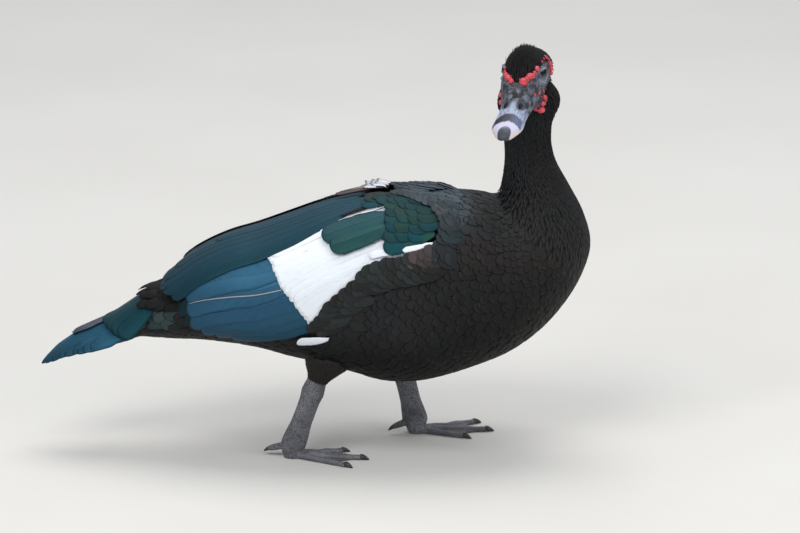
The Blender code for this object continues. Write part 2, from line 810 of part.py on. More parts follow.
def rod(name, stops, sides, look=None, into="muscovy_drake", first_way=None):
    """A limb through stops of (place, half depth along the walk, half width across it)."""
    rings = []
    places = [np.array(stop[0]) for stop in stops]
    for k, (centre, depth, width) in enumerate(stops):
        way = places[min(k + 1, len(stops) - 1)] - places[max(k - 1, 0)]
        if k == 0 and first_way is not None:
            way = np.array(first_way)
        way = way / np.linalg.norm(way)
        fore = np.cross((0, 1, 0), way)
        fore /= np.linalg.norm(fore)
        across, deep = oval(depth, width, 2.0, even_turns(sides))
        sideways = np.cross(way, fore)
        rings.append(np.array(centre) + np.outer(deep, fore) + np.outer(across, sideways))
    return loft(name, rings, look, into)


def make_leg(side):
    word = "right" if side == RIGHT else "left"
    hip, heel, toe = HIP_AT[side], HEEL_AT[side], TOE_AT[side]
    shin = (heel - hip).normalized()
    bare = heel - shin * BARE_ABOVE_HEEL[side]
    span = bare - hip
    thigh = rod(
        "thigh_" + word,
        [
            (hip, 34 * MM, 27 * MM),
            (hip + span * 0.35, 29 * MM, 23 * MM),
            (hip + span * 0.7, 18.5 * MM, 15.5 * MM),
            (hip + span * 0.9, 12.5 * MM, 11.5 * MM),
            (bare - shin * GAP, 10.5 * MM, 9.5 * MM),
        ],
        16,
        BLACK,
    )
    join(thigh, [grown_skin(GAP)], "DIFFERENCE")
    down = (toe - heel).normalized()
    length = (toe - heel).length
    ankle = toe - down * ANKLE_UP
    rod(
        "shank_" + word,
        [
            (bare, 10 * MM, 8 * MM),
            (heel - shin * 2 * MM, 11 * MM, 8.3 * MM),
            (heel + down * 4 * MM, 11 * MM, 8 * MM),
            (heel + down * 14 * MM, 8.4 * MM, 6.2 * MM),
            (heel + down * length * 0.55, 7.6 * MM, 5.6 * MM),
            (heel + down * length * 0.7, 7.7 * MM, 5.9 * MM),
            (ankle - down * GAP, 8.1 * MM, 6.6 * MM),
        ],
        14,
        SCALY,
    )
    make_foot(word, side, toe, ankle, down)


def foot_frame(side):
    toe = TOE_AT[side]
    return Matrix.Translation((toe.x, toe.y, 0)) @ Matrix.Rotation(FOOT_TURN[side], 4, "Z")


def toe_rod(name, heading, start, length, tip_half, look=None):
    """A toe along the ground, in the foot's frame, with its knuckles."""
    way = Vector((math.cos(heading), math.sin(heading), 0))
    side_way = Vector((-way.y, way.x, 0))
    rings = []
    for f, swell in ((0, 1.5), (0.35, 1.25), (0.52, 1.0), (0.68, 1.15), (1, 1.0)):
        half = tip_half * swell
        high = 2.0 * half * 0.86
        middle = way * (start + (length - start) * f)
        across, up = oval(high / 2, half, 2.2, even_turns(8))
        middle.z = high / 2 - 0.5 * MM
        rings.append([middle + side_way * a + Vector((0, 0, u)) for a, u in zip(across, up)])
    return loft(name, rings, look)


def make_foot(word, side, toe, ankle, down):
    frame = foot_frame(side)
    hub = rod(
        "foot_" + word,
        [
            (ankle, 8.1 * MM, 6.6 * MM),
            (toe - down * 4 * MM, 8.9 * MM, 8.2 * MM),
            (Vector((toe.x - 0.5 * MM, toe.y, 6.5 * MM)), 9.4 * MM, 9.5 * MM),
            (Vector((toe.x + 1.5 * MM, toe.y, 3 * MM)), 9.4 * MM, 10 * MM),
            (Vector((toe.x + 1.5 * MM, toe.y, -1 * MM)), 8 * MM, 8.6 * MM),
        ],
        14,
        SCALY,
        first_way=down,
    )
    pieces = []
    inward = -side  # the inner toe lies towards the other leg
    for label, (spread, length, half) in TOES.items():
        heading = spread * inward
        piece = toe_rod("toe", heading, 2 * MM, length, half)
        piece.data.transform(frame)
        pieces.append(piece)
        make_claw(f"claw_{label}_{word}", frame, heading, length, half)
    pieces.append(web_plate(frame, inward))
    hallux_root = Vector((toe.x - 4 * MM, toe.y, 13 * MM))
    pieces.append(hallux(word, side, hallux_root))
    join(hub, pieces)
    floor = box("floor_cut", (-0.3, -0.3, -0.05), (0.3, 0.3, 0))
    join(hub, [floor], "DIFFERENCE")


def box(name, low, high):
    bm = bmesh.new()
    bmesh.ops.create_cube(bm, size=1)
    low, high = Vector(low), Vector(high)
    size = high - low
    bmesh.ops.scale(bm, verts=bm.verts, vec=size)
    bmesh.ops.translate(bm, verts=bm.verts, vec=(low + high) / 2)
    mesh = bpy.data.meshes.new(name)
    bm.to_mesh(mesh)
    bm.free()
    return place(mesh, name)


def web_plate(frame, inward):
    """The web between the three front toes, with a hollowed front edge."""
    order = ("inner", "middle", "outer")
    heads = [(TOES[k][0] * inward, TOES[k][1] - 3 * MM) for k in order]
    rim = []
    for (a, reach_a), (b, reach_b) in zip(heads, heads[1:]):
        for f in np.linspace(0, 1, 6):
            if f == 0 and rim:
                continue
            angle = a + (b - a) * f
            reach = (reach_a + (reach_b - reach_a) * f) * (1 - 0.2 * math.sin(math.pi * f))
            rim.append((angle, reach))
    low, high = [], []
    for angle, reach in rim:
        low.append(Vector((math.cos(angle) * reach, math.sin(angle) * reach, 0.5 * MM)))
        high.append(Vector((math.cos(angle) * reach, math.sin(angle) * reach, 2.0 * MM)))
    bm = bmesh.new()
    heel_low = bm.verts.new((2 * MM, 0, 0.5 * MM))
    heel_high = bm.verts.new((2 * MM, 0, 3.2 * MM))
    lows = [bm.verts.new(p) for p in low]
    highs = [bm.verts.new(p) for p in high]
    for k in range(len(rim) - 1):
        bm.faces.new((heel_high, highs[k], highs[k + 1]))
        bm.faces.new((heel_low, lows[k + 1], lows[k]))
        bm.faces.new((lows[k], lows[k + 1], highs[k + 1], highs[k]))
    bm.faces.new((heel_low, lows[0], highs[0], heel_high))
    bm.faces.new((heel_low, heel_high, highs[-1], lows[-1]))
    bmesh.ops.recalc_face_normals(bm, faces=bm.faces)
    mesh = bpy.data.meshes.new("web")
    bm.to_mesh(mesh)
    bm.free()
    mesh.transform(frame)
    return place(mesh, "web")


HALLUX_WAY = Vector((-0.86, 0, -0.26))


def hallux(word, side, root):
    """The short hind toe, set a little up the leg on its inner side."""
    way = Vector((HALLUX_WAY.x, -side * 0.3, HALLUX_WAY.z)).normalized()
    stops = []
    for distance, half in ((0, 4.2), (8, 3.6), (14, 3.3), (21, 2.5)):
        stops.append((root + way * distance * MM, half * MM, half * MM))
    end = stops[-1][0]
    claw_rod("claw_hind_" + word, end, way, 2.3 * MM, 6.5 * MM)
    return rod("hallux", stops, 8)


def claw_rod(name, start, way, half, length):
    """A claw that bends down to its tip, a gap away from its toe."""
    rings = []
    side_way = Vector((0, 0, 1)).cross(way).normalized()
    up = way.cross(side_way)
    for f, swell in ((0, 0.85), (0.35, 0.85), (0.7, 0.55), (1, 0.16)):
        middle = start + way * (GAP + length * f) - up * (0.28 * length * f * f)
        ring = []
        for angle in 2 * math.pi * even_turns(6):
            ring.append(middle + (side_way * math.sin(angle) + up * math.cos(angle)) * half * swell)
        rings.append(ring)
    return loft(name, rings, HORN)


def make_claw(name, frame, heading, length, half):
    way = frame.to_3x3() @ Vector((math.cos(heading), math.sin(heading), 0))
    start = frame @ Vector((math.cos(heading) * length, math.sin(heading) * length, half * 0.95))
    claw_rod(name, start, way, half, CLAW_LENGTH)


def centre_on_floor():
    """Moves every piece so that the origin lies under the middle of the whole."""
    things = bpy.data.collections["muscovy_drake"].objects
    corners = np.array([vert.co for thing in things for vert in thing.data.vertices])
    low, high = corners.min(axis=0), corners.max(axis=0)
    shift = Matrix.Translation((-(low[0] + high[0]) / 2, -(low[1] + high[1]) / 2, -low[2]))
    for thing in things:
        thing.data.transform(shift)
    print("shifted by", shift.to_translation())


def main():
    clear_scene()
    new_collection("muscovy_drake")
    make_torso()
    make_neck()
    make_wing(RIGHT)
    make_wing(LEFT)
    make_tail()
    make_head()
    make_eyes()
    make_bill()
    make_leg(RIGHT)
    make_leg(LEFT)
    centre_on_floor()
    for thing in bpy.data.collections["muscovy_drake"].objects:
        print(thing.name, len(thing.data.polygons))


main()
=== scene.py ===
"""The looks of the muscovy drake: skin, plumage, head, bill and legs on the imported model.

Tables are in millimetres. The bird walks towards +X, so its right side faces -Y, and its head
is turned past that side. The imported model's own origin is worked out from its right eye.
"""

import json
import math
import random

import bpy
import numpy as np
from mathutils import Matrix, Vector, noise
from mathutils.bvhtree import BVHTree

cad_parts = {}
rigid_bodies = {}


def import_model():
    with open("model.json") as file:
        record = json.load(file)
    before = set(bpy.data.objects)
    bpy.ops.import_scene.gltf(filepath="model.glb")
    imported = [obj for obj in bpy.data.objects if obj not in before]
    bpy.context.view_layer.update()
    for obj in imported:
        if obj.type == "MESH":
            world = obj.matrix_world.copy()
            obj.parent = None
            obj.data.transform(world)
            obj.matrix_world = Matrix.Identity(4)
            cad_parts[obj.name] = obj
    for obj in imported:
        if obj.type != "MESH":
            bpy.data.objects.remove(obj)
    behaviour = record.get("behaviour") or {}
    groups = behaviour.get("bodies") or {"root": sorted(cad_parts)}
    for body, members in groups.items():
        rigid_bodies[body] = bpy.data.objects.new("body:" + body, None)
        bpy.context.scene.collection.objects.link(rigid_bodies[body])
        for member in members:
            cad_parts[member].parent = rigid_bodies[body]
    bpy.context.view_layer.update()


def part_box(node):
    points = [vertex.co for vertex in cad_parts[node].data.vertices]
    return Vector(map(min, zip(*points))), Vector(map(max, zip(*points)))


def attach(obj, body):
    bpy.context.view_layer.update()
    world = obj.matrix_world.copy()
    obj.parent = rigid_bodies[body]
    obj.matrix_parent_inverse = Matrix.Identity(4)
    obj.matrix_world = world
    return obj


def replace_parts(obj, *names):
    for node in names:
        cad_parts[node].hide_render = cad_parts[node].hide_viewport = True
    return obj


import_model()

MM = 0.001
RIGHT, LEFT = -1, 1
SIDE_NAMES = {RIGHT: "right", LEFT: "left"}
BODY = "root"

# The body from the tail's root to inside the skull, as slices that fan round the bend of the
# neck. Each row holds the back edge (x, z), the belly edge (x, z), half width and squareness.
SLICES = [
    (-245, 108, -245, 103, 14, 2.0),
    (-232, 116, -232, 103.5, 24, 2.0),
    (-216, 124.5, -216, 104, 30, 2.0),
    (-200, 132.5, -200, 105.5, 32.5, 2.0),
    (-186, 143, -186, 108.5, 31, 2.0),
    (-176, 155, -176, 111.5, 30, 2.0),
    (-160, 168, -158, 110.5, 38, 2.0),
    (-140, 178, -138, 110.5, 48, 2.1),
    (-115, 189, -115, 111, 60, 2.2),
    (-85, 204, -85, 109, 74, 2.3),
    (-57, 220, -57, 104.6, 85, 2.3),
    (-27, 233, -27, 96.4, 93, 2.3),
    (3, 244.5, 3, 89, 97, 2.3),
    (33, 253, 33, 80.5, 99.5, 2.3),
    (65, 259.5, 65, 70.8, 100.5, 2.3),
    (95, 261, 95, 69.5, 100, 2.3),
    (122, 261.5, 122, 74, 98, 2.3),
    (146, 261, 155, 84, 92.5, 2.3),
    (163, 259.5, 192, 99, 86, 2.3),
    (174, 257.5, 224, 121, 79, 2.2),
    (181, 260, 250, 150, 70, 2.15),
    (185, 267, 267, 180, 60, 2.1),
    (187, 276, 274, 208, 50, 2.05),
    (187.5, 287, 267, 238, 40, 2.0),
    (187, 299, 253, 266, 32, 2.0),
    (186, 312, 240, 290, 26.5, 2.0),
    (185.5, 325, 233, 311, 23.5, 2.0),
    (185.5, 337, 233, 329, 22.5, 2.0),
    (186, 347.5, 236.5, 345.5, 22.5, 2.0),
    (186.3, 356.5, 238, 354.5, 23, 2.0),
    (186.5, 365.5, 237.5, 363.5, 22.6, 2.0),
    (187, 375.5, 232.7, 373.8, 20, 2.0),
    (190, 384, 223.4, 383, 14, 2.0),
]
BACK_SAG = 0.04  # how far a slice's broadest line lies below its middle, of its half height
COAT_DEPTH = (  # row, depth of the skin under the coat there
    (0, 1.5), (5, 2.5), (20, 2.5), (25, 1.5), (28, 0.3), (30, 0.3), (32, 1.5),
)

# The outer form that the folded wings lie on: x, middle z, half height, half width.
HULL = [
    (-190, 131, 16, 26),
    (-165, 138.2, 24.4, 40),
    (-147, 146.5, 34, 52),
    (-117, 156.8, 44.2, 68),
    (-87, 163.1, 51.5, 80),
    (-57, 164.1, 59.5, 88),
    (-27, 165.4, 69, 94),
    (3, 167.2, 78.2, 98),
    (33, 167.5, 86.5, 100.5),
    (63, 166, 94.6, 101.5),
    (83, 165.5, 96.2, 101.5),
    (113, 168, 94.6, 100),
    (143, 171.9, 92.1, 95.5),
    (173, 173, 84, 88),
    (200, 176, 74, 80),
]
HULL_SQUARENESS = 2.3

# The head in its own frame: +X along the bill, +Z up, the origin midway between the eyes.
PACKED_EYES = Vector((205, -18, 390.4)) * MM
EYES_AT = PACKED_EYES + Vector((1.5, 0, 0)) * MM
HEAD_TURN = math.radians(-105)
HEAD_DIP = math.radians(15)
SKULL = [  # x, top, bottom, half width, squareness
    (-36, -2, -14, 7, 2.0),
    (-33, 3, -20, 14, 2.0),
    (-27, 9, -27, 19, 2.1),
    (-15, 14.5, -33, 22, 2.2),
    (-3, 16.5, -36.5, 21.8, 2.1),
    (9, 15, -38, 21.2, 2.2),
    (19, 11, -37, 20, 2.4),
    (27, 5, -34, 17.8, 2.5),
    (33, -1, -31.5, 15.5, 2.5),
]
UPPER_BILL = [  # x, top, cutting edge, half width
    (31, 0.5, -24.5, 16),
    (33.3, -1.5, -24.5, 15.8),
    (41, -7.5, -24.2, 15.2),
    (50, -12.2, -23.8, 14.6),
    (60, -15.6, -23.8, 14.6),
    (70, -18, -24.2, 15.4),
    (77, -19.2, -24.8, 15.2),
    (83, -20.6, -25.8, 12.6),
    (88, -22.2, -27, 9.2),
    (91.4, -24, -28, 6.2),
    (93, -25.8, -28.5, 3.4),
    (93.6, -27.2, -28.4, 0.8),
]
LOWER_BILL = [  # x, upper face, underside, half width
    (31, -25, -31.4, 14),
    (46, -24.6, -29.8, 12.6),
    (60, -24.6, -28.9, 12.8),
    (70, -25, -28.7, 13.4),
    (77, -25.4, -28.6, 11.5),
    (83, -26.4, -28.8, 6.4),
]
EYE_RADIUS = 6.2
EYE_DEPTH = 16.9

# Legs: heel and toe joints, hips, and the toes' spread, length to the claw and half width.
HEEL_AT = {RIGHT: Vector((-3, -48, 70)), LEFT: Vector((86, 45, 65))}
TOE_AT = {RIGHT: Vector((-25, -48, 9)), LEFT: Vector((99, 45, 9))}
HIP_AT = {RIGHT: Vector((17, -50, 122)), LEFT: Vector((72, 48, 118))}
FOOT_TURN = {RIGHT: math.radians(-9), LEFT: math.radians(2)}
BARE_ABOVE_HEEL = {RIGHT: 11, LEFT: 4}
TOES = {
    "inner": (math.radians(27), 53, 3.1),
    "middle": (math.radians(0), 70, 3.3),
    "outer": (math.radians(-26), 66, 3.1),
}
TOE_SWELLS = ((0, 1.5), (0.35, 1.25), (0.52, 1.0), (0.68, 1.16), (0.84, 0.96), (1, 0.98))
CLAW_LENGTH = 9
CLAW_SWELLS = ((0, 0.9), (0.35, 0.85), (0.7, 0.55), (0.92, 0.24), (1, 0.08))
LEG_VOXEL = 0.75
SHANK_PLATE, TOE_PLATE = 3.6, 3.1  # length of one broad plate
HIND_LENGTH = 21  # the hind toe's, up to its claw


def srgb(red, green, blue):
    """A colour as seen, 0 to 255, for a material."""
    share = np.array((red, green, blue)) / 255
    return tuple(np.where(share <= 0.04045, share / 12.92, ((share + 0.055) / 1.055) ** 2.4))


BLACK = srgb(23, 23, 25)
BROWN_BLACK = srgb(33, 30, 29)
BLUE = srgb(48, 92, 120)
TEAL = srgb(14, 68, 78)
GREEN = srgb(32, 68, 62)
WHITE = srgb(226, 232, 240)
PALE_SHAFT = srgb(168, 162, 160)
# A painted sheen: the grey-blue gloss on the back's feathers, laid on as a colour
MANTLE_SHEEN = srgb(70, 78, 88)
SIDE_GREEN = srgb(50, 68, 70)
PINK_BROWN = srgb(128, 108, 110)
TUFT = srgb(196, 198, 206)
RED = srgb(208, 72, 86)


def rows_between(table, at):
    """Values of the table's rows at fractional row numbers, on a curve through all rows."""
    rows = np.asarray(table, float)
    at = np.clip(np.asarray(at, float), 0, len(rows) - 1)
    i = np.minimum(at.astype(int), len(rows) - 2)
    f = (at - i)[..., None]
    before, a = rows[np.maximum(i - 1, 0)], rows[i]
    b, after = rows[i + 1], rows[np.minimum(i + 2, len(rows) - 1)]
    bend = 2 * before - 5 * a + 4 * b - after + f * (3 * (a - b) + after - before)
    return a + 0.5 * f * (b - before + f * bend)


def curve(table, x):
    """The value at x of a table of (x, value)."""
    return np.interp(x, *np.transpose(table))


def step(value, start, span):
    """0 up to the start, then rising to 1 over the span; a negative span falls from 1 to 0."""
    return np.clip((value - start) / span, 0, 1)


def bell(value, middle, reach):
    """1 at the middle, falling off smoothly to either side."""
    return np.exp(-(((value - middle) / reach) ** 2))


def row_of(table, x):
    """The fractional row number at which the table's first column reaches x."""
    first = np.array(table, float)[:, 0]
    return np.interp(x, first, np.arange(len(first)))


def oval(half_height, half_width, squareness, turns):
    """(across, up) of a squarish oval. Turns run from the top, one whole turn round."""
    angle = 2 * math.pi * np.asarray(turns)
    sine, cosine = np.sin(angle), np.cos(angle)
    across = half_width * np.sign(sine) * np.abs(sine) ** (2 / squareness)
    return across, half_height * np.sign(cosine) * np.abs(cosine) ** (2 / squareness)


def unit(vectors):
    return vectors / np.maximum(np.linalg.norm(vectors, axis=-1, keepdims=True), 1e-9)


def head_matrix():
    turn = Matrix.Rotation(HEAD_TURN, 4, "Z") @ Matrix.Rotation(HEAD_DIP, 4, "Y")
    return Matrix.Translation(EYES_AT) @ turn


def out_of_head(points):
    """Points of the head's frame, in mm, at their place on the bird, in mm."""
    turn = np.array(head_matrix().to_3x3())
    return np.asarray(points, float) @ turn.T + np.array(EYES_AT) / MM


def turned_with_head(ways):
    """Ways in the head's frame, as ways on the bird."""
    return out_of_head(ways) - out_of_head((0, 0, 0))


def into_head(points):
    turn = np.array(head_matrix().to_3x3())
    return (np.asarray(points, float) - np.array(EYES_AT) / MM) @ turn


def model_shift():
    """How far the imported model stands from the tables' own origin."""
    low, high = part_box("eye_right")
    eye = out_of_head((0, -EYE_DEPTH, 0)) * MM + np.array(PACKED_EYES - EYES_AT)
    return (Vector(low) + Vector(high)) / 2 - Vector(eye)


SHIFT = model_shift()


def walked_along(line):
    """How far along a line each of its points lies."""
    return np.concatenate([[0], np.cumsum(np.linalg.norm(np.diff(line, axis=0), axis=-1))])


class Form:
    """A surface read at any place in its two measures, from an even net of its points."""

    def __init__(self, make, first, second):
        self.first, self.second = np.array(first, float), np.array(second, float)
        self.net = make(*np.meshgrid(self.first, self.second, indexing="ij"))
        along, across = np.gradient(self.net, axis=0), np.gradient(self.net, axis=1)
        self.out = unit(np.cross(along, across))

    def read(self, net, a, b):
        i = (np.asarray(a, float) - self.first[0]) / (self.first[1] - self.first[0])
        j = (np.asarray(b, float) - self.second[0]) / (self.second[1] - self.second[0])
        i = np.clip(i, 0, len(self.first) - 1.001)
        j = np.clip(j, 0, len(self.second) - 1.001)
        i0, j0 = i.astype(int), j.astype(int)
        f, g = (i - i0)[..., None], (j - j0)[..., None]
        near = net[i0, j0] * (1 - g) + net[i0, j0 + 1] * g
        far = net[i0 + 1, j0] * (1 - g) + net[i0 + 1, j0 + 1] * g
        return near * (1 - f) + far * f

    def at(self, a, b, height=0.0):
        height = np.asarray(height, float)
        return self.read(self.net, a, b) + self.outward(a, b) * height[..., None]

    def outward(self, a, b):
        return unit(self.read(self.out, a, b))


def body_points(at, turn, grow=0.0):
    bx, bz, vx, vz, half_width, squareness = np.moveaxis(rows_between(SLICES, at), -1, 0)
    back = np.stack([bx, 0 * bx, bz], axis=-1)
    belly = np.stack([vx, 0 * vx, vz], axis=-1)
    half = np.linalg.norm(back - belly, axis=-1) / 2
    across, high = oval(half + grow, half_width + grow, squareness, turn)
    high = high - BACK_SAG * half * (1 - (high / (half + grow)) ** 2)
    up = unit(back - belly)
    middle = (back + belly) / 2
    return middle + up * high[..., None] + across[..., None] * np.array((0, 1, 0))


def skin_points(at, turn):
    return body_points(at, turn, -curve(COAT_DEPTH, at))


def hull_points(x, way_round):
    """The wings' form on the left side, by x and the way round from the back."""
    turns = np.linspace(0, 0.5, 241)
    points = np.zeros(x.shape + (3,))
    for i, (here, t) in enumerate(zip(x[:, 0], way_round)):
        _, middle, half_height, half_width = rows_between(HULL, row_of(HULL, here))
        across, high = oval(half_height, half_width, HULL_SQUARENESS, turns)
        steps = np.hypot(np.diff(across), np.diff(high))
        travelled = np.concatenate([[0], np.cumsum(steps)])
        y = np.sign(t) * np.interp(np.abs(t), travelled, across)
        points[i] = np.stack([x[i], y, middle + np.interp(np.abs(t), travelled, high)], axis=-1)
    return points


WING_STEP = 2.5  # between the points of the wing's form, both ways
BODY_FORM = Form(skin_points, np.linspace(0, len(SLICES) - 1, 321), np.linspace(0, 1, 145))
WING_FORM = Form(hull_points, np.arange(-190, 160, WING_STEP), np.arange(-20, 220, WING_STEP))


def link(mesh, name):
    thing = bpy.data.objects.new(name, mesh)
    bpy.context.scene.collection.objects.link(thing)
    return thing


def store(mesh, name, kind, values):
    """Keeps a value of each point."""
    layer = mesh.attributes.new(name, kind, "POINT")
    field = {"FLOAT": "value", "FLOAT_COLOR": "color"}.get(kind, "vector")
    layer.data.foreach_set(field, np.asarray(values, np.float32).ravel())


def point_mesh(name, points, faces):
    """A mesh from points in millimetres."""
    mesh = bpy.data.meshes.new(name)
    mesh.from_pydata((np.asarray(points).reshape(-1, 3) * MM).tolist(), [], faces)
    return mesh


def solid(name, net, **attributes):
    """A closed object over a net of points (rows, round, 3), capped, whose points keep values."""
    rows, sides = net.shape[:2]
    index = np.arange(rows * sides).reshape(rows, sides)
    following = np.roll(index, -1, axis=1)
    quads = np.stack([index[:-1], following[:-1], following[1:], index[1:]], axis=-1)
    faces = quads.reshape(-1, 4)[:, ::-1].tolist()
    faces.append(list(range(sides)))
    faces.append([rows * sides - 1 - k for k in range(sides)])
    return outward_object(name, point_mesh(name, net, faces), attributes)


def outward_object(name, mesh, attributes):
    point_facing_out(mesh)
    for label, values in attributes.items():
        store(mesh, label, "FLOAT" if np.ndim(values) == 1 else "FLOAT_VECTOR", values)
    return link(mesh, name)


def points_of(mesh):
    """A mesh's points, in metres, and the ways in which they face."""
    points = np.zeros(len(mesh.vertices) * 3, np.float32)
    mesh.vertices.foreach_get("co", points)
    return points.reshape(-1, 3), np.array([vertex.normal[:] for vertex in mesh.vertices])


def evaluated_mesh(thing):
    graph = bpy.context.evaluated_depsgraph_get()
    graph.update()
    made = bpy.data.meshes.new_from_object(
        thing.evaluated_get(graph), preserve_all_data_layers=True, depsgraph=graph
    )
    thing.modifiers.clear()
    return made


def point_facing_out(mesh):
    """Turns a closed mesh right side out."""
    mesh.update()
    volume = 0.0
    for face in mesh.polygons:
        volume += face.center.dot(face.normal) * face.area
    if volume < 0:
        mesh.flip_normals()


def fuse(base, pieces):
    """Joins closed pieces to the base by one union, and removes them."""
    group = bpy.data.collections.new("fused")
    for piece in pieces:
        group.objects.link(piece)
        bpy.context.scene.collection.objects.unlink(piece)
    bpy.context.scene.collection.children.link(group)
    boolean = base.modifiers.new("fuse", "BOOLEAN")
    boolean.operation, boolean.operand_type = "UNION", "COLLECTION"
    boolean.solver, boolean.collection = "MANIFOLD", group
    base.data = evaluated_mesh(base)
    for piece in list(group.objects):
        bpy.data.objects.remove(piece, do_unlink=True)
    bpy.data.collections.remove(group)


def finish_piece(thing, finish):
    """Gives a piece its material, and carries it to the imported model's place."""
    mesh = thing.data
    mesh.transform(Matrix.Translation(SHIFT))
    if finish:
        mesh.materials.clear()
        mesh.materials.append(finish)
    mesh.shade_smooth()
    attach(thing, BODY)
    return thing


def node(tree, kind, inputs=None, **settings):
    """A node with its settings, whose inputs are sockets to link or plain values."""
    made = tree.nodes.new(kind)
    for key, value in settings.items():
        setattr(made, key, value)
    for key, value in (inputs or {}).items():
        if isinstance(value, bpy.types.NodeSocket):
            tree.links.new(value, made.inputs[key])
        else:
            made.inputs[key].default_value = value
    return made


def maths(tree, operation, *values):
    return node(tree, "ShaderNodeMath", dict(enumerate(values)), operation=operation).outputs[0]


def times(tree, a, b):
    return maths(tree, "MULTIPLY", a, b)


def vector_maths(tree, operation, *values):
    keys = (0, "Scale") if operation == "SCALE" else range(len(values))
    inputs = dict(zip(keys, values))
    return node(tree, "ShaderNodeVectorMath", inputs, operation=operation).outputs[0]


def object_place(tree):
    return node(tree, "ShaderNodeTexCoord").outputs["Object"]


def noise_at(tree, place, scale, detail):
    inputs = {"Vector": place, "Scale": scale, "Detail": detail}
    return node(tree, "ShaderNodeTexNoise", inputs).outputs[0]


def ramp(tree, value, low, high):
    """0 at low to 1 at high, smoothly."""
    inputs = {"Value": value, "From Min": low, "From Max": high}
    made = node(tree, "ShaderNodeMapRange", inputs, interpolation_type="SMOOTHSTEP")
    return made.outputs[0]


def blend(tree, factor, a, b, mode="MIX"):
    made = node(tree, "ShaderNodeMix", data_type="RGBA", blend_type=mode)
    for key, value in (("Factor_Float", factor), ("A_Color", a), ("B_Color", b)):
        socket = next(s for s in made.inputs if s.identifier == key)
        if isinstance(value, bpy.types.NodeSocket):
            tree.links.new(value, socket)
        else:
            socket.default_value = value if key == "Factor_Float" else (*value[:3], 1)
    return next(s for s in made.outputs if s.identifier == "Result_Color")


def toned(tree, value, low, high, a, b):
    """Colour a where the value is low, turning to b where it is high."""
    return blend(tree, ramp(tree, value, low, high), a, b)


def new_material(name, **constants):
    made = bpy.data.materials.new(name)
    made.use_nodes = True
    shader = made.node_tree.nodes["Principled BSDF"]
    for key, value in constants.items():
        shader.inputs[key.replace("_", " ")].default_value = value
    return made, made.node_tree, shader


def paint(tree, shader, colour, rough=None, gain=0.0, base=0.0):
    """Links the shader's colour, and its roughness as a value times the gain over the base."""
    tree.links.new(colour, shader.inputs["Base Color"])
    if rough:
        tree.links.new(maths(tree, "MULTIPLY_ADD", rough, gain, base), shader.inputs["Roughness"])


def read_attribute(tree, name, output="Color"):
    return node(tree, "ShaderNodeAttribute", attribute_name=name).outputs[output]


def bump(tree, shader, height, strength, distance):
    inputs = {"Height": height, "Strength": strength, "Distance": distance}
    tree.links.new(node(tree, "ShaderNodeBump", inputs).outputs[0], shader.inputs["Normal"])


def new_group(name, inputs, outputs):
    """A shader group with named inputs (name, kind, default) and outputs (name, kind)."""
    tree = bpy.data.node_groups.new(name, "ShaderNodeTree")
    for label, kind, value in inputs:
        socket = tree.interface.new_socket(label, in_out="INPUT", socket_type="NodeSocket" + kind)
        socket.default_value = value
    for label, kind in outputs:
        tree.interface.new_socket(label, in_out="OUTPUT", socket_type="NodeSocket" + kind)
    return tree, node(tree, "NodeGroupInput").outputs, node(tree, "NodeGroupOutput").inputs


def barbs_group():
    """A feather's barbs, fringe and shaft, drawn along the vane's own map."""
    tree, given, out = new_group(
        "feather_barbs",
        (
            ("Tint", "Color", (0.1, 0.1, 0.1, 1)),
            ("Fringe Colour", "Color", (0.1, 0.08, 0.07, 1)),
            ("Fringe", "Float", 0.0),
            ("Barbs", "Float", 40.0),
            ("Streaks", "Float", 0.5),
        ),
        (("Colour", "Color"), ("Height", "Float"), ("Sheen", "Float")),
    )
    own_map = node(tree, "ShaderNodeUVMap", uv_map="vane").outputs[0]
    u, v, _ = node(tree, "ShaderNodeSeparateXYZ", {0: own_map}).outputs
    across = maths(tree, "ABSOLUTE", maths(tree, "MULTIPLY_ADD", u, 2.0, -1.0))
    slant = maths(tree, "SUBTRACT", v, times(tree, across, 0.16))
    rank = times(tree, slant, given["Barbs"])
    patch = noise_at(tree, object_place(tree), 22.0, 1.0)
    inputs = {0: rank, 1: times(tree, u, 1.7), 2: times(tree, patch, 9.0)}
    place = node(tree, "ShaderNodeCombineXYZ", inputs).outputs[0]
    streak = noise_at(tree, place, 1.0, 2.0)
    ridge = maths(tree, "MULTIPLY_ADD", maths(tree, "SINE", times(tree, rank, 12.6)), 0.5, 0.5)
    uneven = times(tree, maths(tree, "SUBTRACT", streak, 0.5), given["Streaks"])
    light = maths(tree, "MULTIPLY_ADD", uneven, 2.0, 1.0)
    shaded = blend(tree, 1.0, given["Tint"], light, "MULTIPLY")
    rim = times(tree, ramp(tree, maths(tree, "MAXIMUM", across, v), 0.72, 1.0), given["Fringe"])
    rim = times(tree, rim, ramp(tree, streak, 0.3, 0.62))
    tree.links.new(blend(tree, rim, shaded, given["Fringe Colour"]), out["Colour"])
    tree.links.new(maths(tree, "MULTIPLY_ADD", ridge, 0.35, streak), out["Height"])
    tree.links.new(streak, out["Sheen"])
    return tree


def plumage(name, barbs, fringe_colour, streaks, gloss, metallic, bump_depth, **constants):
    made, tree, shader = new_material(name, Metallic=metallic, **constants)
    inputs = {
        "Tint": read_attribute(tree, "tint"),
        "Fringe": read_attribute(tree, "fringe", "Fac"),
        "Fringe Colour": (*fringe_colour, 1),
        "Barbs": barbs,
        "Streaks": streaks,
    }
    drawn = node(tree, "ShaderNodeGroup", inputs, node_tree=BARBS).outputs
    paint(tree, shader, drawn["Colour"], drawn["Sheen"], 0.3, gloss - 0.15)
    bump(tree, shader, drawn["Height"], 0.6, bump_depth)
    return made


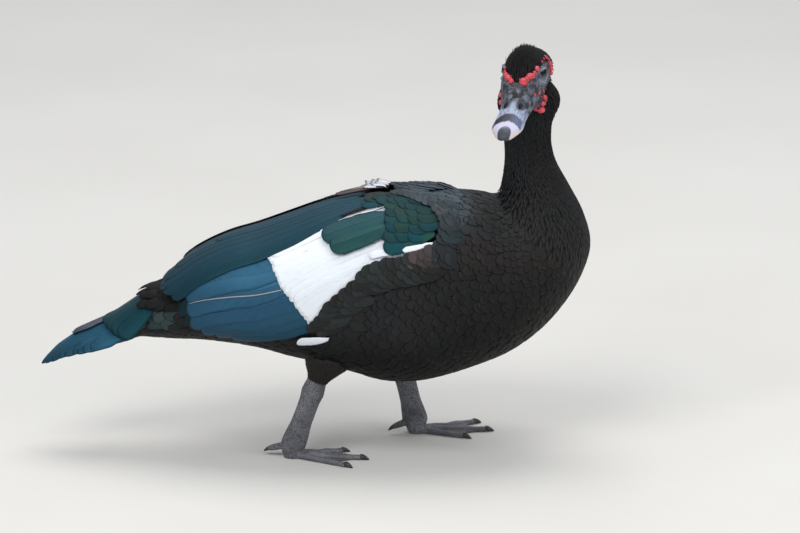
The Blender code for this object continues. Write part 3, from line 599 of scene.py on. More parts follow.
BARBS = barbs_group()
COAT_FINISH = plumage(
    "body_feathers", 11.0, srgb(52, 46, 43), 0.4, 0.62, 0.0, 0.0002, Specular_IOR_Level=0.2,
)
HAIRY_FINISH = plumage(
    "neck_feathers", 5.0, srgb(52, 48, 48), 0.4, 0.58, 0.0, 0.00015, Specular_IOR_Level=0.22,
)
FLIGHT_FINISH = plumage(
    "flight_feathers", 70.0, srgb(24, 42, 56), 0.3, 0.46, 0.45, 0.0002, Specular_IOR_Level=0.12,
)
WHITE_FINISH = plumage(
    "white_coverts", 46.0, srgb(214, 216, 226), 0.07, 0.6, 0.0, 0.00025, Sheen_Weight=0.1,
)


BAKE_PATCH = 0.003  # how far a feather spreads on the bake map, about its root's place
ROOT_SINK, ROOT_EASE = 1.5, 14  # how deep a large feather's root sinks, how soon it comes up


def quads_of(index):
    """The faces between a grid's point numbers."""
    corners = [index[:-1, :-1], index[1:, :-1], index[1:, 1:], index[:-1, 1:]]
    return np.stack(corners, -1).reshape(-1, 4)


class Vanes:
    """Lays large feathers on a form as closed thin plates, and makes one mesh of them."""

    def __init__(self, form):
        self.form, self.parts = form, []

    def lay(
        self, side, root, tip, half_width, heights, tint, bow=0, tilt=0.8, camber=0.5, rows=24,
        columns=9, neck=0.4, roundness=1.1, taper=0.0, ripple=0.02, thick=0.3, fringe=0.0,
        shaft=None, shaft_width=0.45,
    ):
        """Adds a feather, from root to tip in the form's own two measures.

        The heights are those of root and tip. A bow bends the feather, and a tilt lifts it, to
        the side on which the form's second measure grows.
        """
        root, tip = np.array(root, float), np.array(tip, float)
        length = np.linalg.norm(tip - root)
        way = (tip - root) / length
        aside = np.array((way[1], -way[0]))
        s, q = np.meshgrid(np.linspace(0, 1, rows), np.linspace(-1, 1, columns), indexing="ij")
        reach = length - roundness * half_width * (1 - np.sqrt(1 - (0.99 * q) ** 2))
        f = s * reach / length
        broad = neck + (1 - neck) * np.sin(np.pi / 2 * np.minimum(f / 0.5, 1))
        broad = broad * (1 - taper * f**3) * half_width
        wave = ripple * np.sin(f * 31 + root[1]) * np.abs(q)
        across = q * broad * (1 + wave) + bow * np.sin(np.pi * f)
        places = root + way * (f * length)[..., None] + aside * across[..., None]
        height = heights[0] + (heights[1] - heights[0]) * f + tilt * q + camber * (1 - q**2)
        height = height - ROOT_SINK * np.exp(-f * ROOT_EASE)
        thick = thick * (1 - 0.6 * np.abs(q) ** 3)[..., None]
        self.plate(side, places, height, thick, tint, fringe, root)
        if shaft:
            middle = columns // 2
            spread = np.array((-1, 0, 1)) * (shaft_width * (1.15 - f[:, middle]))[:, None]
            line = places[:, middle][:, None] + aside * spread[..., None]
            rise = height[:, middle, None] + np.array((-0.1, 0.22, -0.1))
            self.plate(side, line, rise, 0.25, shaft, 0.0, root)

    def plate(self, side, places, height, thick, tint, fringe, root):
        """Adds a plate whose upper side runs through a grid of places on the form."""
        flip = np.array((1, side, 1))
        out = self.form.outward(places[..., 0], places[..., 1]) * flip
        top = self.form.at(places[..., 0], places[..., 1], height) * flip
        place = root_place(self.form, root, side)
        self.parts.append((top, top - out * thick, out, tint, fringe, place))

    def make(self, name, finish, slot):
        points, faces, maps, places, tints, fringes = [], [], [], [], [], []
        count = 0
        for top, under, out, tint, fringe, place in self.parts:
            rows, columns = top.shape[:2]
            size = rows * columns
            index = np.arange(size).reshape(rows, columns) + count
            edges = [index[0, :-1], index[:-1, -1], index[-1, :0:-1], index[:0:-1, 0]]
            ring = np.concatenate(edges)
            after = np.roll(ring, -1)
            rim = np.stack([ring, after, after + size, ring + size], -1)
            back = quads_of(index + size)[:, [0, 3, 2, 1]]
            made = np.concatenate([quads_of(index), back, rim])
            i, j = rows // 2, columns // 2
            face = np.cross(top[i + 1, j] - top[i, j], top[i, j] - top[i, j - 1])
            faces.append(made[:, ::-1] if np.dot(face, out[i, j]) < 0 else made)
            v, u = np.meshgrid(np.linspace(0, 1, rows), np.linspace(0, 1, columns), indexing="ij")
            own = np.stack([u, v], -1).reshape(-1, 2)
            points += [top.reshape(-1, 3), under.reshape(-1, 3)]
            maps += [own, own]
            places += [np.array(place) + (own - 0.5) * BAKE_PATCH] * 2
            tints.append(np.tile((*tint, 1.0), (2 * size, 1)))
            fringes.append(np.full(2 * size, fringe))
            count += 2 * size
        faces = np.concatenate(faces)
        mesh = point_mesh(name, np.concatenate(points), faces.tolist())
        for label, values in (("vane", maps), ("OFBake", places)):
            layer = mesh.uv_layers.new(name=label)
            values = np.concatenate(values)[faces.ravel()]
            layer.data.foreach_set("uv", values.astype(np.float32).ravel())
        store(mesh, "tint", "FLOAT_COLOR", np.concatenate(tints))
        store(mesh, "fringe", "FLOAT", np.concatenate(fringes))
        return finish_piece(link(mesh, name), finish)


def root_place(form, root, side):
    """The root's place on an unwrap of its form, each form and side in a field of its own."""
    across = (root[0] - form.first[0]) / (form.first[-1] - form.first[0])
    up = (root[1] - form.second[0]) / (form.second[-1] - form.second[0])
    return 0.03 + 0.94 * np.clip(across, 0, 1), (0.52 if side == LEFT else 0.02) + 0.45 * up


def vary(rng, tint, amount=0.12):
    """The tint a little lighter or darker, and a little off its hue."""
    level = 1 + rng.uniform(-amount, amount)
    return tuple(c * level * (1 + rng.uniform(-amount, amount) / 3) for c in tint)


def mixed(a, b, share):
    return tuple(p + (q - p) * share for p, q in zip(a, b))


# Large feathers of the folded wing, as (along the bird, way round from the back) of root and
# tip, half width, height of root and tip over the form, bow, and how far from green to blue.
LOWER_FLIGHT = [
    ((18, 158), (-84, 147), 10, 0.0, 0.5, 3, 0.75),
    ((14, 147), (-100, 131), 13, 0.08, 0.65, 6, 0.8),
    ((10, 137), (-114, 113), 14.5, 0.16, 0.85, 8, 0.9),
    ((6, 124), (-125, 93), 15.5, 0.24, 1.05, 10, 0.95),
    ((2, 106), (-128, 76), 15.5, 0.32, 1.25, 9, 1.0),
    ((0, 88), (-129, 62), 15.5, 0.4, 1.45, 8, 1.0),
]
PALE_LINE = ((-33, 110.5), (-126, 77), 0.5, 1.85, 2.1, 5.5)  # a pale shaft that lies bare
UPPER_FLIGHT = [
    ((52, 34), (-144, 51), 15, 1.5, 2.2, 13, 0.15),
    ((54, 28), (-151, 39), 15, 1.6, 2.4, 10, 0.3),
    ((52, 25), (-154, 29), 14, 1.7, 2.55, 6, 0.45),
    ((50, 18), (-152, 20), 12.5, 1.8, 2.7, 4, 0.3),
    ((46, 11), (-140, 12.5), 10.5, 1.85, 2.8, 3, 0.4),
    ((42, 5), (-100, 5), 7.5, 1.9, 2.85, 1, 0.6),
]
PRIMARIES = [
    ((-4, 112), (-132, 88), 9, -1.6, -0.5, 8, 0.6),
    ((-4, 98), (-138, 72), 9, -1.4, -0.2, 8, 0.5),
]
GREEN_LOBES = [
    ((74, 57), (6, 70), 15, 2.5, 3.9, 2, 0.2),
    ((76, 72), (14, 85), 13, 2.7, 4.2, 2, 0.15),
    ((112, 68), (60, 79), 13, 1.7, 2.6, 2, 0.1),
    ((118, 80), (72, 90), 10, 1.8, 2.7, 1, 0.0),
]
WHITE_EDGE = ((70, -48), (105, -36), (137, -17), (158, -6))  # way round, x of the tips


# The folded wing's edges, as (along the bird, way round from the back).
WING_TOP = (
    (-156, 22), (-150, 12), (-120, 4), (-60, 2), (20, 4), (70, 12), (100, 22), (112, 30), (120, 42),
    (126, 54),
)
WING_FOOT = (
    (-156, 34), (-145, 68), (-127, 100), (-102, 134), (-77, 149), (-17, 167), (0, 156), (31, 130),
    (68, 112), (100, 100), (114, 90), (122, 78), (126, 66),
)


def wing_outline(x):
    """(upper, lower) edge of the folded wing at x, as ways round from the back."""
    return curve(WING_TOP, x), curve(WING_FOOT, x)


def flight_vanes(side):
    rng = random.Random(21)
    vanes = Vanes(WING_FORM)
    for row in (PRIMARIES, LOWER_FLIGHT, UPPER_FLIGHT):
        for root, (end, way_round), half_width, low, high, bow, blue in row:
            tucked = side == LEFT and row is UPPER_FLIGHT and way_round < 45
            low, high = (low - 2.4, high - 3.2) if tucked else (low, high)
            shorter = 20 if tucked else 12 * (side == LEFT)
            shade = 0.38 if row is UPPER_FLIGHT else np.interp(root[1], (95, 160), (0, 0.35))
            tint = vary(rng, mixed(mixed(TEAL, BLUE, blue), BLACK, shade), 0.05)
            if row is PRIMARIES:
                tint = vary(rng, mixed(BLACK, TEAL, 0.35))
            vanes.lay(
                side, root, (end + shorter, way_round), half_width, (low, high), tint, bow=bow,
                tilt=0.12, camber=0.22, rows=44, columns=13, roundness=1.0, fringe=0.3,
                shaft=mixed(tint, BLACK, 0.2), shaft_width=0.3,
            )
    root, tip, half_width, low, high, bow = PALE_LINE
    vanes.lay(
        side, root, tip, half_width, (low, high), PALE_SHAFT, bow=bow, tilt=0, camber=0.15,
        rows=40, columns=5, neck=1.0, taper=0.6, ripple=0,
    )
    return vanes.make(f"flight_feathers_{SIDE_NAMES[side]}", FLIGHT_FINISH, "flight_green")


WHITE_ROWS, WHITE_FIRST, WHITE_APART = 29, 71, 3.2  # the long white feathers, by way round
WHITE_REACH, WHITE_FRONT = 125, 106  # their length, and how far forward a root can lie
WHITE_MARKS = (  # root and tip, half width, heights: single white feathers about the patch
    ((72, 37), (-8, 60), 6.5, 1.0, 1.3),
    ((62, 50), (-45, 69), 7, 1.0, 1.3),
    ((12, 180), (-19, 171), 4.6, 0.9, 2.6),
    ((120, 92), (52, 103), 3.8, 2.0, 3.2),
)


def white_vanes(side):
    rng = random.Random(4)
    vanes = Vanes(WING_FORM)
    for k in range(WHITE_ROWS):
        t = WHITE_FIRST + WHITE_APART * k
        x = curve(WHITE_EDGE, t) + rng.uniform(-1, 1)
        if t > min(wing_outline(x + 8)[1] + 2, 161):
            continue
        front = min(x + WHITE_REACH, WHITE_FRONT)
        root = (front, min(t - 0.22 * (front - x), wing_outline(front)[1] - 2))
        high = 1.6 + 0.03 * (k % 2)
        vanes.lay(
            side, root, (x, t), 5.6, (high - 1.9, high), vary(rng, WHITE, 0.01), bow=1.5, tilt=0,
            camber=0.03, rows=44, columns=7, roundness=0.75, ripple=0, neck=0.9, taper=0.05,
            thick=0.05,
        )
    for root, tip, half_width, low, high in WHITE_MARKS:
        vanes.lay(side, root, tip, half_width, (low, high), WHITE, bow=1, tilt=0.2, rows=22, fringe=0.4)
    return vanes.make(f"white_coverts_{SIDE_NAMES[side]}", WHITE_FINISH, "flight_green")


SCALE_RANKS, SCALE_APART = 8, 10.5  # the small feathers before the green lobes
TUFT_FEATHERS = 12


def shoulder_vanes(side):
    """The green lobes, the small scale-like feathers before them, and a black feather laid as the painted
    shadow of the slit between feathers.
    """
    rng = random.Random(9)
    vanes = Vanes(WING_FORM)
    # A black feather that paints the shadow in the slit between the feathers
    vanes.lay(side, (64, 38), (24, 47.5), 3.6, (3.2, 3.7), BLACK, tilt=0.2, taper=0.5)
    for root, tip, half_width, low, high, bow, blue in GREEN_LOBES:
        vanes.lay(
            side, root, tip, half_width, (low, high), vary(rng, mixed(GREEN, BLUE, blue), 0.06),
            bow=bow, tilt=0.3, camber=0.5, rows=30, columns=13, roundness=0.95, fringe=0.3,
            shaft=mixed(GREEN, BLACK, 0.3), shaft_width=0.3,
        )
    for rank in range(SCALE_RANKS):
        x = 47 + SCALE_APART * rank
        upper, lower = wing_outline(x + 20)
        stagger = 5.2 if rank % 2 else 0
        for t in np.arange(upper + 3 + stagger, min(lower - 9, 97), 10.4):
            if x < 58 and t > 42:
                continue
            green = np.clip((t - 10) / 22, 0.15, 1) * step(x, 128, -36)
            green = green * rng.uniform(0.65, 1.0)
            tint = vary(rng, mixed(BROWN_BLACK, mixed(TEAL, GREEN, rng.random()), green), 0.14)
            root = (x + 25 + rng.uniform(-2, 2), t - 2)
            tip = (x + rng.uniform(-2.5, 2.5), t + 3 + rng.uniform(-1.5, 1.5))
            high = np.interp(x, (60, 110), (4.6, 3.0)) - 1.2 * step(t, 26, -20)
            vanes.lay(
                side, root, tip, 8.4 + rng.uniform(-0.8, 0.8), (high - 2.2, high), tint, bow=0.5,
                tilt=0.1, camber=0.25, rows=16, roundness=0.95, fringe=0.5, thick=0.2,
            )
    if side == LEFT:
        vanes.lay(side, (66, 10), (20, 15), 4, (3.4, 4.6), mixed(PINK_BROWN, BLACK, 0.6))
        for k in range(TUFT_FEATHERS):
            x, t = 47 + 1.2 * k + rng.uniform(-2, 2), 14 + 5 * (k % 4) + rng.uniform(-1, 1)
            vanes.lay(
                side, (x + 14, t - 3), (x, t), 2.6, (3.5, 5.6 + 0.9 * (k % 4)),
                vary(rng, TUFT, 0.1), bow=rng.uniform(-1, 1), tilt=0.6, rows=12, roundness=0.7,
                ripple=0.3, fringe=1.0,
            )
    return vanes.make(f"shoulder_feathers_{SIDE_NAMES[side]}", FLIGHT_FINISH, "flight_green")


# Where the body's feathers end over the wing, as (along the bird, way round) from behind the
# white patch, round the shoulder, to the back.
WING_BORDER = (
    (-9, 159), (0, 147), (10, 138), (22, 132), (35, 127), (40, 118), (52, 114), (66, 111), (79, 109),
    (93, 105), (107, 100), (119, 90), (122, 72), (118, 56), (108, 42), (92, 28), (70, 16),
)
BORDER_RANKS, BORDER_APART = 4, 5.8
FORM_END = 124  # feathers ahead of this place sink in, as the wing's form ends there


def border_vanes(side):
    """Black body feathers whose tips lie over the wing's lower, front and upper borders."""
    rng = random.Random(63)
    vanes = Vanes(WING_FORM)
    line = np.array(WING_BORDER, float)
    walked = walked_along(line)

    def on_border(place):
        return [np.interp(place, walked, line[:, k]) for k in (0, 1)]

    for rank in range(BORDER_RANKS):
        for place in np.arange(4 * (rank % 2), walked[-1], 8):
            x, t = on_border(place)
            along = unit(np.array(on_border(place + 3)) - (x, t))
            outward = np.array((-along[1], along[0])) * rank * BORDER_APART
            tip = np.array((x, t)) + outward + [rng.uniform(-1.6, 1.6) for _ in range(2)]
            root = tip + (22, 3.5 if t > 90 else -2)
            high = np.interp(t, (90, 110), (4.3, 3.4)) - 0.75 * rank - 0.3 * max(tip[0] - FORM_END, 0)
            low = high - np.interp(rank, (0, 3), (2.6, 3.2)) - 0.3 * max(root[0] - FORM_END, 0)
            tint = vary(rng, mixed(BLACK, BROWN_BLACK, 0.4 * rng.random()), 0.16)
            # Feathers near the back's top take a painted grey-blue sheen, and a teal tint of their own
            if x > 100 and t < 100 or t < 60:
                tint = mixed(tint, MANTLE_SHEEN, step(t, 98, -45) * rng.uniform(0.2, 0.8))
                tint = mixed(tint, TEAL, rng.uniform(0, 0.3))
            if x < 90 and t > 105:
                tint = mixed(tint, SIDE_GREEN, 0.3 * rng.random())
            if rank < 2 and 88 < x < 110 and t > 95:
                tint = mixed(tint, PINK_BROWN, rng.uniform(0.1, 0.4))
            vanes.lay(
                side, root, tip, 6.6, (low, high), tint, bow=rng.uniform(-1, 1), tilt=0.1,
                camber=0.3, rows=14, roundness=1.0, fringe=0.4, thick=0.2,
            )
    return vanes.make(f"border_feathers_{SIDE_NAMES[side]}", COAT_FINISH, "plumage_black")


CORE_PLACES = 31  # across the core, on its upper side and on its underside


def wing_core(side):
    """The dark mass under the wing's feathers, which they lie on."""
    net = []
    edge = 1.6 * np.abs(np.linspace(-1, 1, CORE_PLACES)) ** 6
    for x in np.linspace(-140, 124, 67):
        upper, lower = wing_outline(x)
        ways = np.linspace(upper + 4, lower - 5, CORE_PLACES)
        along = np.full(CORE_PLACES, x)
        outer = WING_FORM.at(along, ways, -0.8 - edge - np.interp(x, (-140, -90), (1.6, 0)))
        inner = WING_FORM.at(along, ways[::-1], np.full(CORE_PLACES, -7.0))
        net.append(np.concatenate([outer, inner]))
    thing = solid(f"wing_core_{SIDE_NAMES[side]}", np.array(net) * np.array((1, side, 1)))
    return finish_piece(thing, UNDER_FINISH)


def under_finish():
    """The dull black down that shows between feathers."""
    made, tree, shader = new_material("down", Roughness=0.85, Specular_IOR_Level=0.2)
    tuft = noise_at(tree, object_place(tree), 420.0, 3.0)
    paint(tree, shader, toned(tree, tuft, 0.35, 0.7, srgb(12, 14, 17), srgb(26, 30, 34)))
    bump(tree, shader, tuft, 0.8, 0.0006)
    return made


UNDER_FINISH = under_finish()

# The tail's fan: its ridge line x and z, the arch across it, and its feathers of one side.
TAIL_RIDGE = (
    (-276, 84), (-257, 102.5), (-237, 117), (-217, 127),
    (-199, 135.5), (-187, 144), (-176, 152), (-165, 158),
)
TAIL_ARCH = 42.0
TAIL_FEATHERS = 9  # on each side
LEFT_OVER_RIGHT = 0.9  # how far the left half's feathers lie over the right half's
TAIL_COVERTS = ((1, -203), (0.8, -207), (0.6, -210), (0.4, -212), (0.2, -213), (0, -210))  # round, tip


def tail_points(x, way_round):
    z = curve(TAIL_RIDGE, x)
    slope = (curve(TAIL_RIDGE, x + 8) - curve(TAIL_RIDGE, x - 8)) / 16
    up = unit(np.stack([-slope, 0 * x, 1 + 0 * x], -1))
    angle = way_round / TAIL_ARCH
    out = up * np.cos(angle)[..., None] + np.sin(angle)[..., None] * np.array((0, 1, 0))
    return np.stack([x, 0 * x, z], -1) - up * TAIL_ARCH + out * TAIL_ARCH


TAIL_FORM = Form(tail_points, np.arange(-275, -160, 2.5), np.arange(-60, 61, 2.5))


def tail_vanes():
    rng = random.Random(15)
    vanes = Vanes(TAIL_FORM)
    for k in range(TAIL_FEATHERS):
        f = k / (TAIL_FEATHERS - 1)
        for side in (LEFT, RIGHT):
            height = 2.8 - 1.9 * f + LEFT_OVER_RIGHT * (side == LEFT)
            back, around = (-275, 12 + 32 * f - 8 * f**3) if side == RIGHT else (-243, 42 * f - 6)
            shorter = (42 if side == RIGHT else 11) * f**1.1
            tip = (back + shorter + rng.uniform(-1.5, 1.5), around)
            tint = vary(rng, mixed(TEAL, BLUE, 0.75 - 0.3 * f), 0.08)
            if side == LEFT and k < 4:
                tint = vary(rng, mixed(tint, PINK_BROWN, 0.4), 0.1)
            vanes.lay(
                side, (-180, 3 + 21 * f), tip, 11, (height - 3, height), tint, bow=1.5, tilt=-0.5,
                camber=0.35, rows=30, columns=11, roundness=1.6, taper=0.4, neck=0.6,
                shaft=mixed(tint, BLACK, 0.4), shaft_width=0.35, fringe=0.6,
            )
    for f, x in TAIL_COVERTS:
        for side in (LEFT, RIGHT):
            height = 3.2 + 0.8 * f - 1.2 * (side == LEFT)
            tint = vary(rng, mixed(TEAL, BLACK, 0.25), 0.05)
            vanes.lay(
                side, (-166, 24 * f + 2), (x, 36 * f + 3), 9.5, (height - 0.8, height), tint,
                tilt=-0.15, camber=0.25, rows=18, roundness=0.6, neck=0.8, fringe=0.4,
            )
    return vanes.make("tail_feathers", FLIGHT_FINISH, "flight_green")


# The bare face, as (x, degrees round from the crown) along its upper and its lower border.
FACE_TOP = (
    (-26, 92), (-23, 72), (-17, 59), (-8, 53), (4, 50), (12, 46), (19, 38), (24, 27), (28.5, 0),
)
FACE_FOOT = ((-26, 92), (-20, 104), (-6, 117), (4, 136), (14, 150), (26, 160), (36, 166))


def is_face(x, degrees, margin=0.0):
    """Where the head is bare, by the place along the skull and round from its crown."""
    round_way = np.abs((np.asarray(degrees) + 180) % 360 - 180)
    inside = round_way > curve(FACE_TOP, x) + margin
    inside = inside & (round_way < curve(FACE_FOOT, x) - margin)
    return inside & (x > -26 + 0.2 * margin)


def swollen(points, centre, radius, softness=2.0):
    """Pushes points that lie within a ball out to its skin."""
    away = points - np.array(centre)
    distance = np.linalg.norm(away, axis=-1, keepdims=True)
    share = np.clip((radius - distance) / softness, 0, 1)
    return points + (np.array(centre) + unit(away) * radius - points) * share


EYE_WAY = (0.45, 0.87, 0.22)  # where the left eye looks, in the head's frame
EYE_WIDE, EYE_TALL = 5.6, 2.9  # half the opening between the lids
CHEEK_AT, CHEEK_RADIUS = (11, 11.5, -26.5), 11  # the swelling below and ahead of the left eye


def eye_frame(side):
    """An eye's centre in the head's frame, and its forward, upward and outward ways."""
    look = unit(np.array(EYE_WAY) * (1, side, 1))
    up = unit(np.array((0, 0, 1)) - look * look[2])
    return np.array((0, side * EYE_DEPTH, 0)), -side * np.cross(up, look), up, look


def round_eye(points, side):
    """Where points lie about an eye: in ovals like its opening, ahead, above, out, and the ball."""
    centre, fore, up, look = eye_frame(side)
    away = points - centre
    ahead, above, high = away @ fore, away @ up, away @ look
    ball = np.sqrt(np.maximum(EYE_RADIUS**2 - ahead**2 - above**2, 0))
    return np.hypot(ahead, above * EYE_WIDE / EYE_TALL), ahead, above, high, ball


def skull_points(x, turn):
    """The head's skin in its own frame: skull, cheeks, brows, and sockets round the eyes."""
    rows = rows_between(SKULL, row_of(SKULL, x))
    _, top, bottom, half_width, squareness = np.moveaxis(rows, -1, 0)
    across, high = oval((top - bottom) / 2, half_width, squareness, turn)
    points = np.stack([x, across, high + (top + bottom) / 2], axis=-1)
    for side in (LEFT, RIGHT):
        points = swollen(points, (CHEEK_AT[0], side * CHEEK_AT[1], CHEEK_AT[2]), CHEEK_RADIUS)
    bare = is_face(x, turn * 360, 2)
    middle = np.stack([x, 0 * x, (top + bottom) / 2], axis=-1)
    inward = unit(middle - points)
    points = points + inward * np.where(bare, 0.2, 1.0)[..., None]
    for side in (LEFT, RIGHT):
        near, ahead, above, high, ball = round_eye(points, side)
        far = np.hypot(ahead, above)
        lidded = ball + 0.45 + 0.5 * bell(near, 7.4, 1.8)
        bag = 1.7 * bell(far, 9.6, 2.2) * np.clip(-above / 7, 0, 1)
        brow = 1.5 * bell(far, 9, 2.2) * np.clip(above / 7, 0, 1)
        wanted = np.where(near < EYE_WIDE, ball - 1.6, np.maximum(high, lidded))
        hold = np.clip((9.5 - far) / 3, 0, 1) * (high > 0)
        shift = (wanted - high) * hold + (bag + brow) * (high > 0)
        points = points + eye_frame(side)[3] * shift[..., None]
    return points


def face_creases(points, bare):
    """Folds and grains of the bare skin, as a height at each point."""
    heights = np.zeros(len(points))
    for k in np.nonzero(bare)[0]:
        x, y, z = points[k]
        drift = noise.noise(Vector((x, y, z)) * 0.12) * 4
        fold = abs(noise.noise(Vector((x * 0.16 + drift * 0.1, y * 0.1, z * 0.34))))
        pleat = abs(noise.noise(Vector((x * 0.5, y * 0.3, z * 0.9 + 7))))
        grain = noise.noise(Vector((x, y, z)) * 1.1)
        heights[k] = 1.5 * min(fold, 0.35) + 0.7 * min(pleat, 0.3) + 0.22 * grain - 0.5
    return heights


SKULL_X = np.linspace(-35.8, 33.4, 161)
SKULL_FORM = Form(skull_points, SKULL_X, np.linspace(0, 1, 161))


def head_skin():
    x, turn = np.meshgrid(SKULL_X, np.arange(160) / 160, indexing="ij")
    net = skull_points(x, turn)
    bare = is_face(x, turn * 360).ravel()
    heights = face_creases(net.reshape(-1, 3), bare).reshape(x.shape)
    net = net + SKULL_FORM.outward(x, turn) * heights[..., None]
    return solid("head_skin", out_of_head(net))


def rod_net(stops, rings, sides):
    """A net of rings through stops of (place, half depth along the walk, half width)."""
    table = [(*place, depth, width) for place, depth, width in stops]
    at = np.linspace(0, len(table) - 1, rings)
    rows = rows_between(table, at)
    places = rows[:, :3]
    ways = unit(np.gradient(places, axis=0))
    fore = unit(np.cross((0, 1, 0), ways))
    side_ways = np.cross(ways, fore)
    turns = np.arange(sides) / sides
    net = np.zeros((rings, sides, 3))
    for k, (centre, depth, width) in enumerate(zip(places, rows[:, 3], rows[:, 4])):
        across, deep = oval(depth, width, 2.0, turns)
        net[k] = centre + np.outer(deep, fore[k]) + np.outer(across, side_ways[k])
    return net


THIGH_COAT = 1.2  # depth of the skin under the thigh's feathers


def thigh_stops(side, depth):
    hip, heel = HIP_AT[side], HEEL_AT[side]
    shin = (heel - hip).normalized()
    bare = heel - shin * BARE_ABOVE_HEEL[side]
    span = bare - hip
    shape = ((0, 34, 27), (0.35, 29, 23), (0.7, 18.5, 15.5), (0.9, 12.5, 11.5), (1, 10.5, 9.5))
    return [(hip + span * f, fore - depth, wide - depth) for f, fore, wide in shape]


THIGH_RINGS, THIGH_SIDES = 30, 48


def make_skin():
    skin = solid("skin", BODY_FORM.net[:, :-1])
    pieces = [head_skin()]
    for side in (RIGHT, LEFT):
        pieces.append(solid("thigh", rod_net(thigh_stops(side, THIGH_COAT), THIGH_RINGS, THIGH_SIDES)))
    fuse(skin, pieces)
    mesh = skin.data
    mesh.update()
    points, outward = points_of(mesh)
    store(mesh, "outward", "FLOAT_VECTOR", outward)
    own = into_head(points / MM)
    store(mesh, "own", "FLOAT_VECTOR", own)
    store(mesh, "bare", "FLOAT", bare_mask(own))
    store(mesh, "pale", "FLOAT", pale_mask(own))
    return skin


def pale_mask(own):
    """1 on the blue-grey skin under each eye and over each upper lid, whose shine is painted on as a paler
    colour, and behind the bill's root, else less.
    """
    mask = np.zeros(len(own))
    for side in (LEFT, RIGHT):
        near, ahead, above, high, _ = round_eye(own, side)
        far = np.hypot(ahead * 0.8, above)
        # Painted highlights: a crescent under the eye and a rim over the upper lid
        under = 1.2 * bell(far, 9.6, 2.6) * np.clip(-above / 5, 0, 1)
        above_lid = 0.9 * bell(near, 7.2, 1.6) * np.clip(above / 3, 0, 1)
        mask = np.maximum(mask, np.minimum(under + above_lid, 1) * (high > 0))
    gape = np.exp(-(((own[:, 0] - 29) / 5) ** 2) - ((own[:, 2] + 17) / 4) ** 2)
    return np.maximum(mask, 0.7 * gape * (np.abs(own[:, 1]) > 10))


def bare_mask(own):
    """1 where a point in the head's frame lies on the bare face, else 0."""
    row = rows_between(SKULL, row_of(SKULL, own[:, 0]))
    middle = (row[:, 1] + row[:, 2]) / 2
    half = (row[:, 1] - row[:, 2]) / 2
    degrees = np.degrees(np.arctan2(own[:, 1] / row[:, 3], (own[:, 2] - middle) / half))
    near = (own[:, 0] > -30) & (own[:, 0] < 36) & (np.abs(own[:, 1]) < 26) & (own[:, 2] > -45)
    return (is_face(own[:, 0], degrees) & near).astype(float)


def skin_finish():
    made, tree, shader = new_material("skin", Specular_IOR_Level=0.5)
    bare, pale = read_attribute(tree, "bare", "Fac"), read_attribute(tree, "pale", "Fac")
    own = read_attribute(tree, "own", "Vector")
    grain = node(tree, "ShaderNodeTexVoronoi", {"Vector": own, "Scale": 0.9}).outputs[0]
    # The face's mottle runs from dark grey to light blue-grey spots, partly the skin's own colour and partly
    # painted highlights
    mottle_and_glints, fold = noise_at(tree, own, 0.2, 4.0), noise_at(tree, own, 0.55, 4.0)
    dark = toned(tree, mottle_and_glints, 0.4, 0.62, srgb(32, 34, 42), srgb(104, 108, 122))
    # The pale mask's colour is a painted highlight, lightest where the fold noise that also raises the bump
    # is high
    light = toned(tree, fold, 0.3, 0.7, srgb(84, 90, 108), srgb(146, 152, 174))
    pores = times(tree, ramp(tree, grain, 0.15, 0.85), 0.45)
    face = blend(tree, pale, blend(tree, pores, dark, srgb(34, 36, 44)), light)
    paint(tree, shader, blend(tree, bare, srgb(18, 17, 18), face), bare, -0.42, 0.85)
    bump(tree, shader, maths(tree, "SUBTRACT", fold, times(tree, grain, 0.35)), 0.8, 0.0009)
    return made


def coat_vane(name, rows, columns, point, curl, notch=0.0):
    """A small feather of unit length and width, whose height is kept as its rise.

    Its upper side is arched and its underside spans flat from edge to edge.
    """
    s, q = np.meshgrid(np.linspace(0, 1, rows), np.linspace(-1, 1, columns), indexing="ij")
    reach = 1 - point * (1 - np.sqrt(1 - (0.985 * q) ** 2)) - notch * (np.arange(columns) % 2)
    f = s * reach
    broad = (0.45 + 0.55 * np.sin(np.pi / 2 * np.minimum(f / 0.45, 1))) * (1 - 0.25 * point * f**3)
    rise = -0.35 + 1.35 * (1 - (1 - f) ** 1.8) + 0.16 * (1 - q**2) - curl * f**3
    points = np.stack([f, q * broad / 2, rise], -1).reshape(-1, 3)
    index = np.arange(rows * columns).reshape(rows, columns)
    under = np.stack([index[:-1, 0], index[:-1, -1], index[1:, -1], index[1:, 0]], -1)
    faces = quads_of(index).tolist() + under.tolist()
    faces += [index[0].tolist(), index[-1, ::-1].tolist()]
    mesh = bpy.data.meshes.new(name)
    mesh.from_pydata(points.tolist(), [], faces)
    layer = mesh.uv_layers.new(name="vane")
    own = np.stack([(q + 1) / 2, s], -1).reshape(-1, 2)
    corners = [k for face in faces for k in face]
    layer.data.foreach_set("uv", own[corners].astype(np.float32).ravel())
    store(mesh, "rise", "FLOAT", points[:, 2])
    return link(mesh, name)


def crest_vane():
    """A narrow feather of unit length that bends over along its length."""
    thing = coat_vane("crest_vane", 8, 3, 0.8, 0)
    points = np.array([vertex.co[:] for vertex in thing.data.vertices])
    high = points[:, 2]
    points[:, 2] = points[:, 0] ** 2 - 0.06 * (high - high.min())
    thing.data.vertices.foreach_set("co", points.astype(np.float32).ravel())
    return thing


def geometry_tree(name, inputs):
    """A geometry tree that grows things on seeds, with its inputs by name and kind."""
    tree = bpy.data.node_groups.new(name, "GeometryNodeTree")
    for label, kind in (("Seeds", "Geometry"), *inputs, ("Finish", "Material")):
        tree.interface.new_socket(label, in_out="INPUT", socket_type="NodeSocket" + kind)
    tree.interface.new_socket("Grown", in_out="OUTPUT", socket_type="NodeSocketGeometry")
    return tree, node(tree, "NodeGroupInput").outputs


